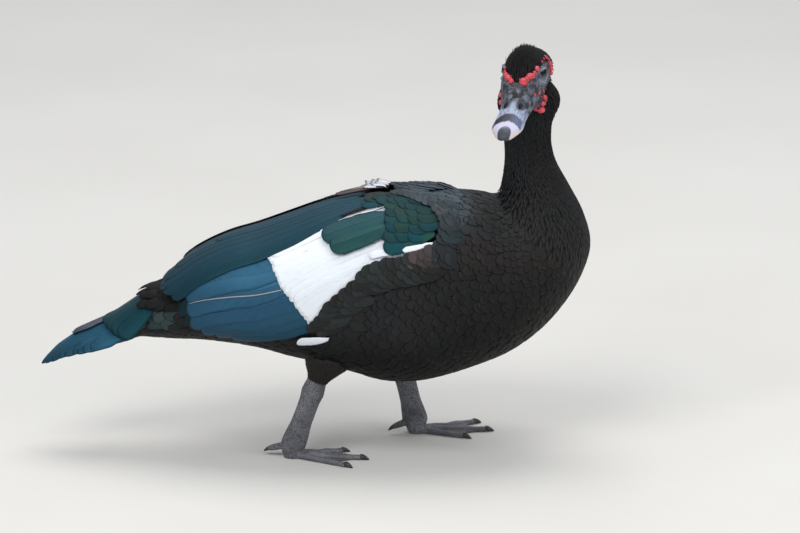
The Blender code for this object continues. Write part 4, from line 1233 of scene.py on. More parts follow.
def value_socket(sockets, name="Value"):
    return next(s for s in sockets if s.name == name and s.enabled)


def named(tree, name, kind="FLOAT_VECTOR"):
    made = node(tree, "GeometryNodeInputNamedAttribute", {"Name": name}, data_type=kind)
    return value_socket(made.outputs, "Attribute")


def shape_of(tree, thing):
    return node(tree, "GeometryNodeObjectInfo", {"Object": thing}).outputs["Geometry"]


def set_on_seeds(tree, seeds, shape, turn):
    """The shape on each seed, turned and sized, as faces of its own."""
    inputs = {"Points": seeds, "Instance": shape, "Rotation": turn, "Scale": named(tree, "size")}
    placed = node(tree, "GeometryNodeInstanceOnPoints", inputs).outputs[0]
    return node(tree, "GeometryNodeRealizeInstances", {"Geometry": placed}).outputs[0]


def end_tree(tree, geometry, finish):
    smooth = node(tree, "GeometryNodeSetShadeSmooth", {"Geometry": geometry}).outputs[0]
    ended = node(tree, "GeometryNodeSetMaterial", {"Geometry": smooth, "Material": finish})
    tree.links.new(ended.outputs[0], node(tree, "NodeGroupOutput").inputs["Grown"])


def grow_mesh(thing, tree, values):
    """Runs a tree on a mesh of seeds, and keeps what it makes as a plain mesh."""
    modifier = thing.modifiers.new("grown", "NODES")
    modifier.node_group = tree
    for socket in tree.interface.items_tree:
        if socket.in_out == "INPUT" and socket.name in values:
            modifier[socket.identifier] = values[socket.name]
    thing.data = evaluated_mesh(thing)


def coat_tree():
    """Geometry nodes that set a vane on each seed, turned to its lie, and lay it on the skin.

    Hug is 1 for a coat that follows the skin and 0 for feathers that stand free of it.
    """
    tree, given = geometry_tree("feather_coat", (
        ("Vane", "Object"), ("Skin", "Object"), ("Hug", "Float"), ("Tuft Size", "Float"),
    ))
    turn = node(tree, "FunctionNodeAxesToRotation", primary_axis="Z", secondary_axis="X")
    tree.links.new(named(tree, "outward"), turn.inputs[0])
    tree.links.new(named(tree, "lie"), turn.inputs[1])
    real = set_on_seeds(tree, given["Seeds"], shape_of(tree, given["Vane"]), turn.outputs[0])
    here = node(tree, "GeometryNodeInputPosition").outputs[0]
    skin = shape_of(tree, given["Skin"])

    def of_skin(value):
        """A value read at the nearest place on the skin."""
        kind = "GeometryNodeSampleNearestSurface"
        sampler = node(tree, kind, {"Mesh": skin}, data_type="FLOAT_VECTOR")
        tree.links.new(value, value_socket(sampler.inputs))
        return value_socket(sampler.outputs)

    deep = node(tree, "ShaderNodeSeparateXYZ", {0: named(tree, "size")}).outputs[2]
    height = times(tree, named(tree, "rise", "FLOAT"), deep)
    way = vector_maths(tree, "NORMALIZE", of_skin(named(tree, "outward")))
    laid = vector_maths(tree, "ADD", of_skin(here), vector_maths(tree, "SCALE", way, height))
    shift = vector_maths(tree, "SCALE", vector_maths(tree, "SUBTRACT", laid, here), given["Hug"])
    moved = vector_maths(tree, "ADD", here, shift)
    hugged = node(tree, "GeometryNodeSetPosition", {"Geometry": real, "Position": moved})
    inner = vector_maths(tree, "SUBTRACT", named(tree, "vane"), (0.5, 0.5, 0.0))
    spread = vector_maths(tree, "SCALE", inner, given["Tuft Size"])
    patch = vector_maths(tree, "ADD", named(tree, "root_place"), spread)
    inputs = {"Geometry": hugged.outputs[0], "Name": "OFBake"}
    kind = "GeometryNodeStoreNamedAttribute"
    kept = node(tree, kind, inputs, data_type="FLOAT2", domain="CORNER")
    tree.links.new(patch, value_socket(kept.inputs))
    end_tree(tree, kept.outputs[0], given["Finish"])
    return tree


class Seeds:
    """Places of small feathers: where each grows, its lie, size, tint, and place on an unwrap."""

    def __init__(self):
        self.rows = []

    def add(self, point, outward, lie, size, tint, fringe, place):
        self.rows.append((tuple(point), tuple(outward), tuple(lie), size, tint, fringe, place))

    def grow(self, name, tree, vane, skin, finish, slot, hug=1.0):
        """Runs the geometry nodes on the seeds and makes the coat a plain mesh."""
        point, outward, lie, size, tint, fringe, place = zip(*self.rows)
        mesh = point_mesh(name, point, [])
        store(mesh, "outward", "FLOAT_VECTOR", outward)
        store(mesh, "lie", "FLOAT_VECTOR", lie)
        store(mesh, "size", "FLOAT_VECTOR", np.array(size) * MM)
        store(mesh, "tint", "FLOAT_COLOR", [(*colour, 1) for colour in tint])
        store(mesh, "fringe", "FLOAT", fringe)
        store(mesh, "root_place", "FLOAT_VECTOR", [(*at, 0) for at in place])
        thing = link(mesh, name)
        own = {"Vane": vane, "Skin": skin, "Hug": hug, "Tuft Size": BAKE_PATCH, "Finish": finish}
        grow_mesh(thing, tree, own)
        for spent in ("lie", "outward", "size", "rise", "root_place"):
            layer = thing.data.attributes.get(spent)
            if layer:
                thing.data.attributes.remove(layer)
        return finish_piece(thing, None)


def rows_along(form, first, last, spacing):
    """Places along a form's first measure so that its longest side has the wanted spacing."""
    inside = (form.first >= first) & (form.first <= last)
    net, at = form.net[inside], form.first[inside]
    steps = np.linalg.norm(np.diff(net, axis=0), axis=-1).max(axis=1)
    travelled = np.concatenate([[0], np.cumsum(steps / spacing((at[1:] + at[:-1]) / 2))])
    return np.interp(np.arange(0, travelled[-1], 1), travelled, at)


def places_round(form, a, spacing, offset):
    """Even places round a form at a, as values of its second measure."""
    travelled = walked_along(form.at(np.full(len(form.second), a), form.second))
    count = max(int(travelled[-1] / spacing), 3)
    wanted = (np.arange(count) + offset) / count * travelled[-1]
    return np.interp(wanted, travelled, form.second)


class Spacer:
    """Keeps seeds from crowding: says whether a point is far enough from those kept."""

    def __init__(self, cell):
        self.cell, self.kept = cell, {}

    def free(self, point, distance):
        key = tuple(int(c // self.cell) for c in point)
        around = [(i, j, k) for i in (-1, 0, 1) for j in (-1, 0, 1) for k in (-1, 0, 1)]
        for i, j, k in around:
            for other in self.kept.get((key[0] + i, key[1] + j, key[2] + k), ()):
                if math.dist(point, other) < distance:
                    return False
        self.kept.setdefault(key, []).append(tuple(point))
        return True


def way_round_wing(point):
    """The way round from the back of the wing form's point nearest to a body point."""
    form, first = WING_FORM, int(20 / WING_STEP)  # the places before it lie past the back
    i = int(np.clip(round((point[0] - form.first[0]) / WING_STEP), 0, len(form.first) - 1))
    column = form.net[i]
    wanted = np.array((column[0][0], abs(point[1]), point[2]))
    return form.second[int(np.argmin(np.linalg.norm(column - wanted, axis=1)[first:])) + first]


BODY_LENGTHS = (  # row, length of the feathers there
    (0, 18), (5, 21), (10, 22), (16, 21), (19, 18.5), (21, 15), (23, 12), (25, 9.5), (28, 9), (32, 7.5),
)


def body_length(at):
    return curve(BODY_LENGTHS, at)


WING_FRONT = [(-t, x) for x, t in WING_FOOT if x >= 0]  # the front edge's x, by minus the way round


def wing_depth(x, t):
    """How far a place lies inside the folded wing's outline, from its top and its other edges."""
    if not -150 < x < 126:
        return -1.0, -1.0
    upper, lower = wing_outline(x)
    return t - upper, min(lower - t, curve(WING_FRONT, -t) - x if t < 156 else lower - t)


def under_wing(point, lie, length):
    """Whether a body feather lies under the folded wing or would poke through its edge."""
    x, tip = point[0], point + lie * length * 0.95
    if x < -152 or x > 180:
        return False
    from_top, from_foot = wing_depth(tip[0], way_round_wing(tip))
    if tip[0] < 70:
        return from_top > -1.5 and from_foot > (4 if x > 0 else 1)
    return from_top > 0 and from_foot > 0


def body_tint(rng, point, at):
    """Black plumage, greyer on the back by a painted sheen, lighter on top and darker on the belly and the
    breast's lower front by painted light and shade, much darker on the rump, and green-grey beside the rump.
    """
    x, y, z = point
    back = step(z, 232, 16) * step(x, 30, 40) * step(x, 170, -16)
    breast = step(x, 90, 50) * step(z, 120, 60) * step(z, 280, -40)
    patch = noise.noise(Vector((x, y, z)) * 0.03) + 0.5
    tint = mixed(BLACK, BROWN_BLACK, np.clip(0.2 + 0.4 * breast * patch + 0.3 * patch, 0, 1))
    # The back's grey-blue is a painted sheen
    tint = mixed(tint, MANTLE_SHEEN, back * rng.uniform(0.3, 0.9))
    tint = mixed(tint, TEAL, 0.12 * back + 0.05 * (1 - patch))
    beside = step(x, -172, 6) * step(x, -128, -8) * step(z, 124, 8) * step(z, 158, -6)
    tint = mixed(tint, SIDE_GREEN, beside * rng.uniform(0.75, 1))
    # Painted shade darkens the tint low on the belly and the breast's lower front; painted light lifts the
    # breast's top above its own colour; the rump is made much darker
    low = np.interp(z, (108, 142), (0.1, 1.0))
    front = np.interp(z, (110, 160, 200, 240), (0.1, 0.35, 0.55, 1.2))
    shade = low + (front - low) * step(x, 100, 60)
    if at > 21:
        shade = 1
    if x < -128 and z > 150:
        shade = 0.15
    return vary(rng, tuple(shade * part for part in tint), 0.16)


# Bands where the feathers stand off the neck: height, reach, how far behind and before, and
# the body's row from which they do.
RUFFS = ((361, 14, 6, 4.2, 25), (282, 20, 3.2, 0, 21), (326, 18, 0, 1.6, 21))
TAIL_ROW, TAIL_TOP = 5.2, 0.17  # up to this row the coat grows only round the belly
LAST_ROW = 31.6  # the coat's last row, inside the skull
ROWS_APART, SEEDS_CROWDED = 0.32, 0.55  # shares of a feather's length, of the seeds' spacing
OFF_SKIN, MEETING = 1.2, 0.4  # a seed lies no further off the skin, and faces its way so far
SEED_WIDTHS = ((19, 0.64), (22, 0.42), (25, 0.26))  # by row, as shares of the length
SEED_GAPS = ((19, 0.84), (22, 0.72), (25, 0.62))  # by row, as shares of the width


def standing_off(outward, x, z, at):
    """How much higher than the rest a feather stands: beside the tail, and in the ruffs."""
    rise = 5 * step(x, -144, -12) * (x > -161) * step(z, 146, 10)
    fore, ruff = outward[0], 0.0
    for middle, reach, behind, before, row in RUFFS:
        ruff += (behind if fore < 0 else before) * abs(fore) * bell(z, middle, reach) * (at > row)
    return rise, ruff


COAT_PARTS = (  # the coat's pieces, each up to a row of the body
    ("rump_coat", 10), ("flank_coat", 15.3), ("breast_coat", 21), ("neck_coat", 25), ("nape_coat", 40),
)


def body_seeds(surface):
    """Seeds over torso and neck by the part that they make, in rows that the lie runs across."""
    rng = random.Random(31)
    parts = {name: Seeds() for name, _ in COAT_PARTS}
    spacer = Spacer(12)
    rows = rows_along(BODY_FORM, 0, LAST_ROW, lambda at: ROWS_APART * body_length(at))
    for rank, at in enumerate(rows):
        length = float(body_length(at))
        width = float(curve(SEED_WIDTHS, at)) * length
        apart = float(curve(SEED_GAPS, at)) * width
        for turn in places_round(BODY_FORM, at, apart, 0.5 * (rank % 2)):
            if at < TAIL_ROW and abs(turn - 0.5) > TAIL_TOP:
                continue
            turn = turn + rng.uniform(-0.5, 0.5) * 0.003
            ahead, behind = BODY_FORM.at(at + 0.5, turn), BODY_FORM.at(at - 0.5, turn)
            here = at + rng.uniform(-0.09, 0.09) * length / np.linalg.norm(ahead - behind)
            point, outward = BODY_FORM.at(here, turn), BODY_FORM.outward(here, turn)
            _, normal, _, distance = surface.find_nearest(Vector(point * MM))
            if distance > OFF_SKIN * MM or normal.dot(Vector(outward)) < MEETING:
                continue
            if not spacer.free(point, SEEDS_CROWDED * apart):
                continue
            lie = unit(behind - ahead)
            astray = rng.gauss(0, np.interp(at, (18, 24), (0.1, 0.2)))
            lie = unit(lie + np.cross(outward, lie) * astray)
            if under_wing(point, lie, length):
                continue
            x, _, z = point
            rise, ruff = standing_off(outward, x, z, at)
            tall = np.interp(at, (18, 24), (0.85, 0.55)) + rise + ruff
            size = (length * rng.uniform(0.88, 1.12), width * rng.uniform(0.88, 1.12), tall)
            fringe = rng.random() * (0.15 + 0.5 * (step(x, 60, 80) * step(z, 280, -60)))
            place = (0.02 + 0.46 * (turn % 1), 0.02 + 0.9 * here / len(SLICES))
            name = next(name for name, end in COAT_PARTS if at < end)
            parts[name].add(point, outward, lie, size, body_tint(rng, point, at), fringe, place)
    return parts


THIGH_ROWS, THIGH_APART = 3.4, 4.0
THIGH_FEATHER = 9.5, 5.6, 1.5  # length, width and height


def thigh_seeds(seeds, surface):
    rng = random.Random(77)
    for side in (RIGHT, LEFT):
        net = rod_net(thigh_stops(side, THIGH_COAT), 41, 49)
        net[:, -1] = net[:, 0]
        form = Form(lambda a, b: net, np.linspace(0, 1, 41), np.linspace(0, 1, 49))
        middle = net.mean(axis=1)
        for rank, a in enumerate(rows_along(form, 0.2, 0.97, lambda a: 0 * a + THIGH_ROWS)):
            for b in places_round(form, a, THIGH_APART, 0.5 * (rank % 2)):
                point = form.at(a, b)
                if surface.find_nearest(Vector(point * MM))[3] > 1.0 * MM:
                    continue
                outward = unit(point - middle[int(a * 40)])
                lie = unit(form.at(min(a + 0.02, 1), b) - form.at(a - 0.02, b))
                size = (THIGH_FEATHER[0] * rng.uniform(0.9, 1.1), *THIGH_FEATHER[1:])
                place = (0.52 + 0.2 * b + 0.22 * (side == LEFT), 0.02 + 0.3 * a)
                seeds.add(point, outward, lie, size, vary(rng, BROWN_BLACK, 0.2), 0.4, place)


HEAD_ROWS, HEAD_APART, HEAD_CROWDED = 1.75, 1.5, 0.95  # spacing on the head, at least


def head_place(turn, x):
    """A place of the skull on the coat's unwrap."""
    return 0.52 + 0.44 * turn, 0.5 + 0.4 * (x + 36) / 70


def head_seeds(seeds, surface):
    """Short feathers on the head's back, crown, cheeks and chin, round the bare face."""
    rng = random.Random(55)
    spacer = Spacer(3)
    for rank, x in enumerate(rows_along(SKULL_FORM, -35.5, 31, lambda x: 0 * x + HEAD_ROWS)):
        for turn in places_round(SKULL_FORM, x, HEAD_APART, 0.5 * (rank % 2)):
            if is_face(x, turn * 360, -1.0):
                continue
            point = out_of_head(SKULL_FORM.at(x, turn))
            outward = turned_with_head(SKULL_FORM.outward(x, turn))
            distance = surface.find_nearest(Vector(point * MM))[3]
            if distance > 0.8 * MM or not spacer.free(point, HEAD_CROWDED):
                continue
            behind = SKULL_FORM.at(x - 0.8, turn) - SKULL_FORM.at(x + 0.8, turn)
            sinking = np.array((0, 0, -1)) * 0.9 * step(x, 8, -30)
            lie = turned_with_head(unit(behind) + sinking)
            lie = lie + np.cross(outward, lie) * rng.gauss(0, 0.15)
            hind = step(x, -10, -14)
            size = ((6.4 + 8 * hind) * rng.uniform(0.88, 1.12), 2.0 + 0.6 * hind, 0.9 + 4.2 * hind)
            tint = vary(rng, BLACK, 0.22)
            seeds.add(point, outward, lie, size, tint, 0.4, head_place(turn, x))


# The crest by the place along the skull: how far round it reaches, its length and its lift.
CREST = (
    (-31, 36, 8, 20), (-22, 42, 10, 32), (-10, 46, 12.5, 42), (2, 45, 14.5, 50),
    (12, 42, 14, 54), (21, 33, 12, 52), (26, 21, 9.5, 44), (29, 9, 7, 34),
)
CREST_APART = 1.0, 3.0  # along the skull, and degrees round it
CREST_WIDE, CREST_BEND = 2.0, -0.34  # a strand's width, and its fall as a share of its length
CREST_ASIDE = 0.42  # how far the strands lean in towards the middle
CREST_DARK = 0.5


def crest_seeds():
    """Curled feathers that rise from the crown and bend back over one another in a dome."""
    rng = random.Random(13)
    seeds = Seeds()
    places, *shape = np.transpose(CREST)
    along, round_it = CREST_APART
    for x in np.arange(29.5, -31, -along):
        edge, long, lifted = (float(np.interp(x, places, values)) for values in shape)
        for degrees in np.arange(-edge, edge + 0.1, round_it):
            aside = degrees / 50
            degrees += rng.uniform(-2.2, 2.2)
            here = x + rng.uniform(-0.8, 0.8)
            turn = (degrees / 360) % 1
            root = SKULL_FORM.at(here, turn, -0.8)
            outward = SKULL_FORM.outward(here, turn)
            back = unit(np.array((-1, 0, 0)) + outward * outward[0])
            length = long * (1 - 0.22 * aside**2)
            length *= rng.uniform(0.88, 1.05) + 0.2 * (rng.random() < 0.04)
            angle = math.radians(lifted * (1 - 0.25 * aside**2) + rng.gauss(0, 3))
            way = back * math.cos(angle) + outward * math.sin(angle)
            way = way + np.array((0, 1, 0)) * (rng.gauss(0, 0.06) - CREST_ASIDE * aside)
            face = np.cross(np.cross(way, outward), way)
            turned = [turned_with_head(unit(v)) for v in (face, way)]
            size = (length, CREST_WIDE * rng.uniform(0.8, 1.2), CREST_BEND * length)
            tint = tuple(CREST_DARK * part for part in vary(rng, BLACK, 0.2))
            seeds.add(out_of_head(root), *turned, size, tint, 0.05, head_place(turn, x))
    return seeds


# Red warts as (along the skull, degrees round from its crown, radius). Those of the left side
# are those that the picture shows best.
WARTS = {
    LEFT: (
        (28.2, 18, 4.4), (22.2, 34, 3.8), (15.4, 44, 2.4), (8.5, 44, 3.0),
        (-7.5, 50, 1.4), (-11, 56, 1.1), (-14, 49, 1.2), (-20, 51, 2.5),
        (-22.4, 63, 2.8), (-21.5, 75, 2.8), (-20.5, 86, 2.8), (-19, 96, 2.4),
        (28.2, 81, 1.3), (21, 89, 1.2), (10, 99, 1.4), (15, 104, 1.0),
        (24.5, 26, 2.6), (19.5, 40, 2.3), (11.5, 115, 2.8), (14.6, 122, 2.6),
        (10, 123, 1.6), (13.5, 134, 4.1), (19, 138, 1.9), (8.5, 132, 2.0),
    ),
    RIGHT: (
        (28.4, 14, 2.6), (25.4, 26, 3.4), (21.5, 36, 2.6), (17, 43, 1.8),
        (9, 48, 1.3), (4, 50, 1.3), (-1, 52, 1.3), (-6, 54, 1.5),
        (-12, 57, 1.9), (-19, 62, 2.4), (-22.5, 73, 2.5), (-22, 85, 2.2),
        (25, 92, 2.3), (18, 99, 1.5), (13, 112, 2.4), (15, 124, 2.9),
        (21, 131, 2.0), (9, 128, 1.8),
    ),
}


def wart_tree():
    """Geometry nodes that set a lumpy bulb on each seed, as large as its radius."""
    tree, given = geometry_tree("warts", (
        ("Bulb", "Object"), ("Lumps", "Float"), ("Lump Scale", "Float"),
    ))
    outward = {"Vector": named(tree, "outward")}
    turn = node(tree, "FunctionNodeAlignRotationToVector", outward, axis="Z").outputs[0]
    real = set_on_seeds(tree, given["Seeds"], shape_of(tree, given["Bulb"]), turn)
    here = node(tree, "GeometryNodeInputPosition").outputs[0]
    lump = maths(tree, "SUBTRACT", noise_at(tree, here, given["Lump Scale"], 2.0), 0.5)
    normal = node(tree, "GeometryNodeInputNormal").outputs[0]
    offset = vector_maths(tree, "SCALE", normal, times(tree, lump, given["Lumps"]))
    moved = node(tree, "GeometryNodeSetPosition", {"Geometry": real, "Offset": offset})
    end_tree(tree, moved.outputs[0], given["Finish"])
    return tree


WART_SUNK = 0.3  # how far out of the skin a wart's middle lies, as a share of its radius
SMALL_WARTS, LEAST_ROUND = 2, 1.6  # the small ones beside each wart of at least this radius
LUMPS, LUMP_SCALE = 0.0009, 330.0


def make_warts():
    rng = random.Random(6)
    places = []
    for side, warts in WARTS.items():
        for x, degrees, radius in warts:
            turn = (side * degrees / 360) % 1
            outward = SKULL_FORM.outward(x, turn)
            centre = SKULL_FORM.at(x, turn, WART_SUNK * radius)
            places.append((centre, outward, radius))
            for _ in range(SMALL_WARTS if radius >= LEAST_ROUND else 0):
                angle = rng.uniform(0, 2 * math.pi)
                aside = unit(np.cross(outward, (math.cos(angle), 0.3, math.sin(angle))))
                small = radius * rng.uniform(0.2, 0.42)
                shift = aside * (radius * 0.95) - outward * 0.25 * radius
                places.append((centre + shift, outward, small))
    centres, ways, radii = zip(*places)
    mesh = point_mesh("caruncles", out_of_head(centres), [])
    store(mesh, "outward", "FLOAT_VECTOR", turned_with_head(ways))
    shapes = [(r * rng.uniform(0.95, 1.08), r * rng.uniform(0.92, 1.02), r * 0.92) for r in radii]
    store(mesh, "size", "FLOAT_VECTOR", np.array(shapes) * MM)
    thing = link(mesh, "caruncles")
    bpy.ops.mesh.primitive_ico_sphere_add(subdivisions=4, radius=1)
    bulb = bpy.context.object
    values = {"Bulb": bulb, "Lumps": LUMPS, "Lump Scale": LUMP_SCALE, "Finish": wart_finish()}
    grow_mesh(thing, wart_tree(), values)
    bpy.data.objects.remove(bulb, do_unlink=True)
    return finish_piece(thing, None)


def wart_finish():
    made, tree, shader = new_material(
        "caruncle", Subsurface_Weight=0.15, Subsurface_Scale=0.0015, Specular_IOR_Level=0.5
    )
    own = object_place(tree)
    blotch, pores = noise_at(tree, own, 190.0, 4.0), noise_at(tree, own, 1500.0, 3.0)
    colour = toned(tree, blotch, 0.38, 0.64, RED, srgb(178, 48, 64))
    colour = toned(tree, pores, 0.56, 0.72, colour, srgb(214, 104, 112))
    paint(tree, shader, colour, blotch, 0.25, 0.25)
    bump(tree, shader, pores, 0.5, 0.0003)
    return made


def signed_power(values, power):
    return np.sign(values) * np.abs(values) ** power


def bill_net(table, rings, sides, domed):
    """Rings of a bill half. A domed one is round above and flat below, or the other way."""
    angle = 2 * math.pi * np.arange(sides) / sides
    net = np.zeros((rings, sides, 3))
    rise = signed_power(np.cos(angle), 0.9)
    for k, at in enumerate(np.linspace(0, len(table) - 1, rings)):
        x, top, bottom, half_width = rows_between(table, at)
        edge, crown = (bottom, top) if domed else (top, bottom)
        across = half_width * signed_power(np.sin(angle), 0.8)
        reach = np.where(rise * (1 if domed else -1) > 0, crown - edge, 0.5)
        net[k] = np.stack([0 * rise + x, across, edge + reach * np.abs(rise)], axis=1)
    return net


NOSTRIL_AT, NOSTRIL_HALF = (48.5, 7.6), (3.6, 1.8)  # along and aside
NAIL_AT, NAIL_HALF = 87.4, (8.2, 7)


def shape_upper_bill(net):
    """Sinks the nostrils, raises the nail and rolls the cutting edge."""
    x, y, z = net[..., 0], net[..., 1], net[..., 2]
    above = z > -21.5
    for side in (LEFT, RIGHT):
        along = (x - NOSTRIL_AT[0]) / NOSTRIL_HALF[0]
        across = (y - side * NOSTRIL_AT[1]) / NOSTRIL_HALF[1]
        hole = np.exp(-((along**2 + across**2) ** 1.6))
        lip = bell(np.sqrt(along**2 + across**2), 1.6, 0.5)
        z += np.where(above, 0.6 * lip - 2.8 * hole, 0)
    nail = ((x - NAIL_AT) / NAIL_HALF[0]) ** 2 + (y / NAIL_HALF[1]) ** 2
    dome = -26.6 + 6.2 * np.sqrt(np.clip(1 - nail, 0, 1)) - 0.17 * np.clip(x - 84, 0, 10) ** 1.5
    on_top = z > np.interp(x, (60, 84, 93), (-23.5, -25.2, -28))
    z[:] = np.where((nail < 1) & on_top, np.maximum(z, dome), z)
    rim = np.interp(x, (31, 60, 78, 92.4), (-24.5, -23.8, -24.8, -28))
    edge = np.exp(-(((z - rim - 0.3) / 1.1) ** 2)) * (np.abs(y) > 6)
    y += np.sign(y) * 0.5 * edge * (x > 36)
    return net


def bill_finish():
    made, tree, shader = new_material("bill", Specular_IOR_Level=0.35)
    own = read_attribute(tree, "own", "Vector")
    x, y, z = node(tree, "ShaderNodeSeparateXYZ", {0: own}).outputs
    wobble = noise_at(tree, own, 0.22, 3.0)
    streaks = noise_at(tree, vector_maths(tree, "MULTIPLY", own, (0.12, 0.9, 0.5)), 1.0, 3.0)
    side = maths(tree, "ABSOLUTE", y)
    drift = maths(tree, "MULTIPLY_ADD", wobble, 4.0, -2.0)
    arch = times(tree, times(tree, y, y), 0.042)
    along = maths(tree, "ADD", maths(tree, "SUBTRACT", x, arch), drift)

    def band(start, end, soft=1.5):
        rise = ramp(tree, along, start - soft, start + soft)
        return times(tree, rise, ramp(tree, along, end + soft, end - soft))

    def spot(centre, reach, ahead, aside, ragged=0.0):
        """1 in an oval on the bill, at x and at a distance from its middle line."""
        a = maths(tree, "DIVIDE", maths(tree, "SUBTRACT", x, centre), ahead)
        b = maths(tree, "DIVIDE", maths(tree, "SUBTRACT", side, reach), aside)
        away = maths(tree, "ADD", times(tree, a, a), times(tree, b, b))
        return ramp(tree, maths(tree, "MULTIPLY_ADD", drift, ragged, away), 1.15, 0.8)

    pale = toned(tree, streaks, 0.35, 0.65, srgb(112, 122, 148), srgb(158, 170, 194))
    dark = toned(tree, wobble, 0.4, 0.62, srgb(38, 41, 50), srgb(104, 110, 122))
    colour = toned(tree, maths(tree, "ADD", x, drift), 55, 44, pale, dark)
    ridge = times(tree, ramp(tree, side, 3.2, 1.0), ramp(tree, x, 43, 48))
    saddle = times(tree, band(60, 71.5), ramp(tree, side, 15.5, 12.5))
    # The saddle's dark band is its own colour; it turns lighter and bluer towards the bill's left side as a
    # painted highlight
    saddle_and_sheen = toned(tree, y, -5, 12, srgb(24, 27, 38), srgb(70, 80, 116))
    low = times(tree, ramp(tree, z, -22.2, -24.6), ramp(tree, x, 44, 60))
    on_nail = times(tree, spot(87.6, 0, 8.7, 6.8), ramp(tree, z, -29.2, -28.4))
    nail = toned(tree, x, 79.5, 84, srgb(104, 110, 132), srgb(56, 59, 71))
    seam = ramp(tree, maths(tree, "ADD", x, times(tree, drift, 0.6)), 36.5, 32.5)
    # Painted shade inside each nostril's dent
    nostril_shade = times(tree, spot(*NOSTRIL_AT, 3.4, 1.9), ramp(tree, z, -22, -19))
    for share, patch in (
        (times(tree, ridge, 0.85), srgb(150, 162, 182)),
        # Painted shade round each sunk nostril
        (times(tree, spot(*NOSTRIL_AT, 6.5, 4.2), 0.85), srgb(52, 56, 68)),
        (saddle, saddle_and_sheen),
        (ramp(tree, along, 70.5, 73), srgb(184, 180, 204)),
        (times(tree, low, 0.85), srgb(204, 188, 176)),
        (on_nail, nail),
        (spot(39.5, 0, 3.2, 3.4, 0.8), srgb(4, 5, 7)),
        (times(tree, seam, 0.8), srgb(24, 26, 33)),
        (nostril_shade, srgb(12, 14, 20)),
    ):
        colour = blend(tree, share, colour, patch)
    paint(tree, shader, colour, streaks, 0.25, 0.34)
    bump(tree, shader, streaks, 0.35, 0.0004)
    return made


def make_bill():
    finish = bill_finish()
    halves = (
        ("upper_bill", shape_upper_bill(bill_net(UPPER_BILL, 150, 120, True)), "bill_upper"),
        ("lower_bill", bill_net(LOWER_BILL, 60, 64, False), "bill_lower"),
    )
    for name, net, node_name in halves:
        thing = solid(name, out_of_head(net), own=net.reshape(-1, 3))
        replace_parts(finish_piece(thing, finish), node_name)


def eye_finish():
    made, tree, shader = new_material(
        "eye", Roughness=0.08, Coat_Weight=0.12, Coat_Roughness=0.02, Specular_IOR_Level=0.15
    )
    spread = read_attribute(tree, "from_axis", "Fac")
    fleck = noise_at(tree, object_place(tree), 900.0, 3.0)
    iris = toned(tree, fleck, 0.3, 0.7, srgb(16, 11, 9), srgb(36, 24, 16))
    iris = toned(tree, spread, 0.62, 0.74, iris, srgb(14, 10, 9))
    paint(tree, shader, toned(tree, spread, 0.36, 0.32, iris, srgb(4, 4, 5)))
    return made


def make_eyes():
    finish = eye_finish()
    rings, turns = np.linspace(0.004, 0.996, 49) * math.pi, np.arange(64) / 64
    for side in (RIGHT, LEFT):
        centre, fore, up, look = eye_frame(side)
        ring, turn = np.meshgrid(rings, turns, indexing="ij")
        away, angle = np.sin(ring)[..., None], turn[..., None] * 2 * math.pi
        ball = fore * away * np.cos(angle) + up * away * np.sin(angle)
        ball = ball + look * np.cos(ring)[..., None]
        from_axis = np.where(np.cos(ring) > 0, np.sin(ring), 1).ravel()
        name, net = SIDE_NAMES[side], out_of_head(centre + ball * EYE_RADIUS)
        thing = solid(f"eyeball_{name}", net, from_axis=from_axis)
        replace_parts(finish_piece(thing, finish), f"eye_{name}")


def make_eyelids(finish):
    """Wrinkled rims that close round each eyeball, drawn out before and behind."""
    wide, tall = EYE_WIDE + 0.3, EYE_TALL + 0.3
    turn, ring = np.meshgrid(np.arange(96) / 96, np.arange(20) / 20, indexing="ij")
    angle, small = turn * 2 * math.pi, ring * 2 * math.pi
    thick = 0.7 + 0.25 * np.sin(angle) + 0.07 * np.sin(angle * 26) * np.sin(small) ** 2
    reach = thick * np.cos(small)
    ahead, above = (wide + reach) * np.cos(angle), (tall + reach) * np.sin(angle)
    spread = (wide * np.cos(angle)) ** 2 + (tall * np.sin(angle)) ** 2
    rise = np.sqrt(np.maximum(EYE_RADIUS**2 - spread, 4)) + 0.1 + thick * np.sin(small)
    index = np.arange(angle.size).reshape(angle.shape)
    after, beside = np.roll(index, -1, axis=0), np.roll(index, -1, axis=1)
    faces = np.stack([index, beside, np.roll(beside, -1, axis=0), after], -1).reshape(-1, 4)
    # Painted highlight: the lid is paler along its upper rim, as the shine of the wet upper lid
    pale = np.clip(0.35 + 0.4 * np.sin(angle), 0.1, 1).ravel()
    for side in (RIGHT, LEFT):
        centre, fore, up, look = eye_frame(side)
        net = centre + ahead[..., None] * fore + above[..., None] * up + rise[..., None] * look
        values = {"own": net.reshape(-1, 3), "bare": np.ones(angle.size), "pale": pale}
        mesh = point_mesh("lid", out_of_head(net), faces.tolist())
        lid = outward_object(f"eyelid_{SIDE_NAMES[side]}", mesh, values)
        finish_piece(lid, finish)


SCALES = 560.0  # how fine the legs' small scales are


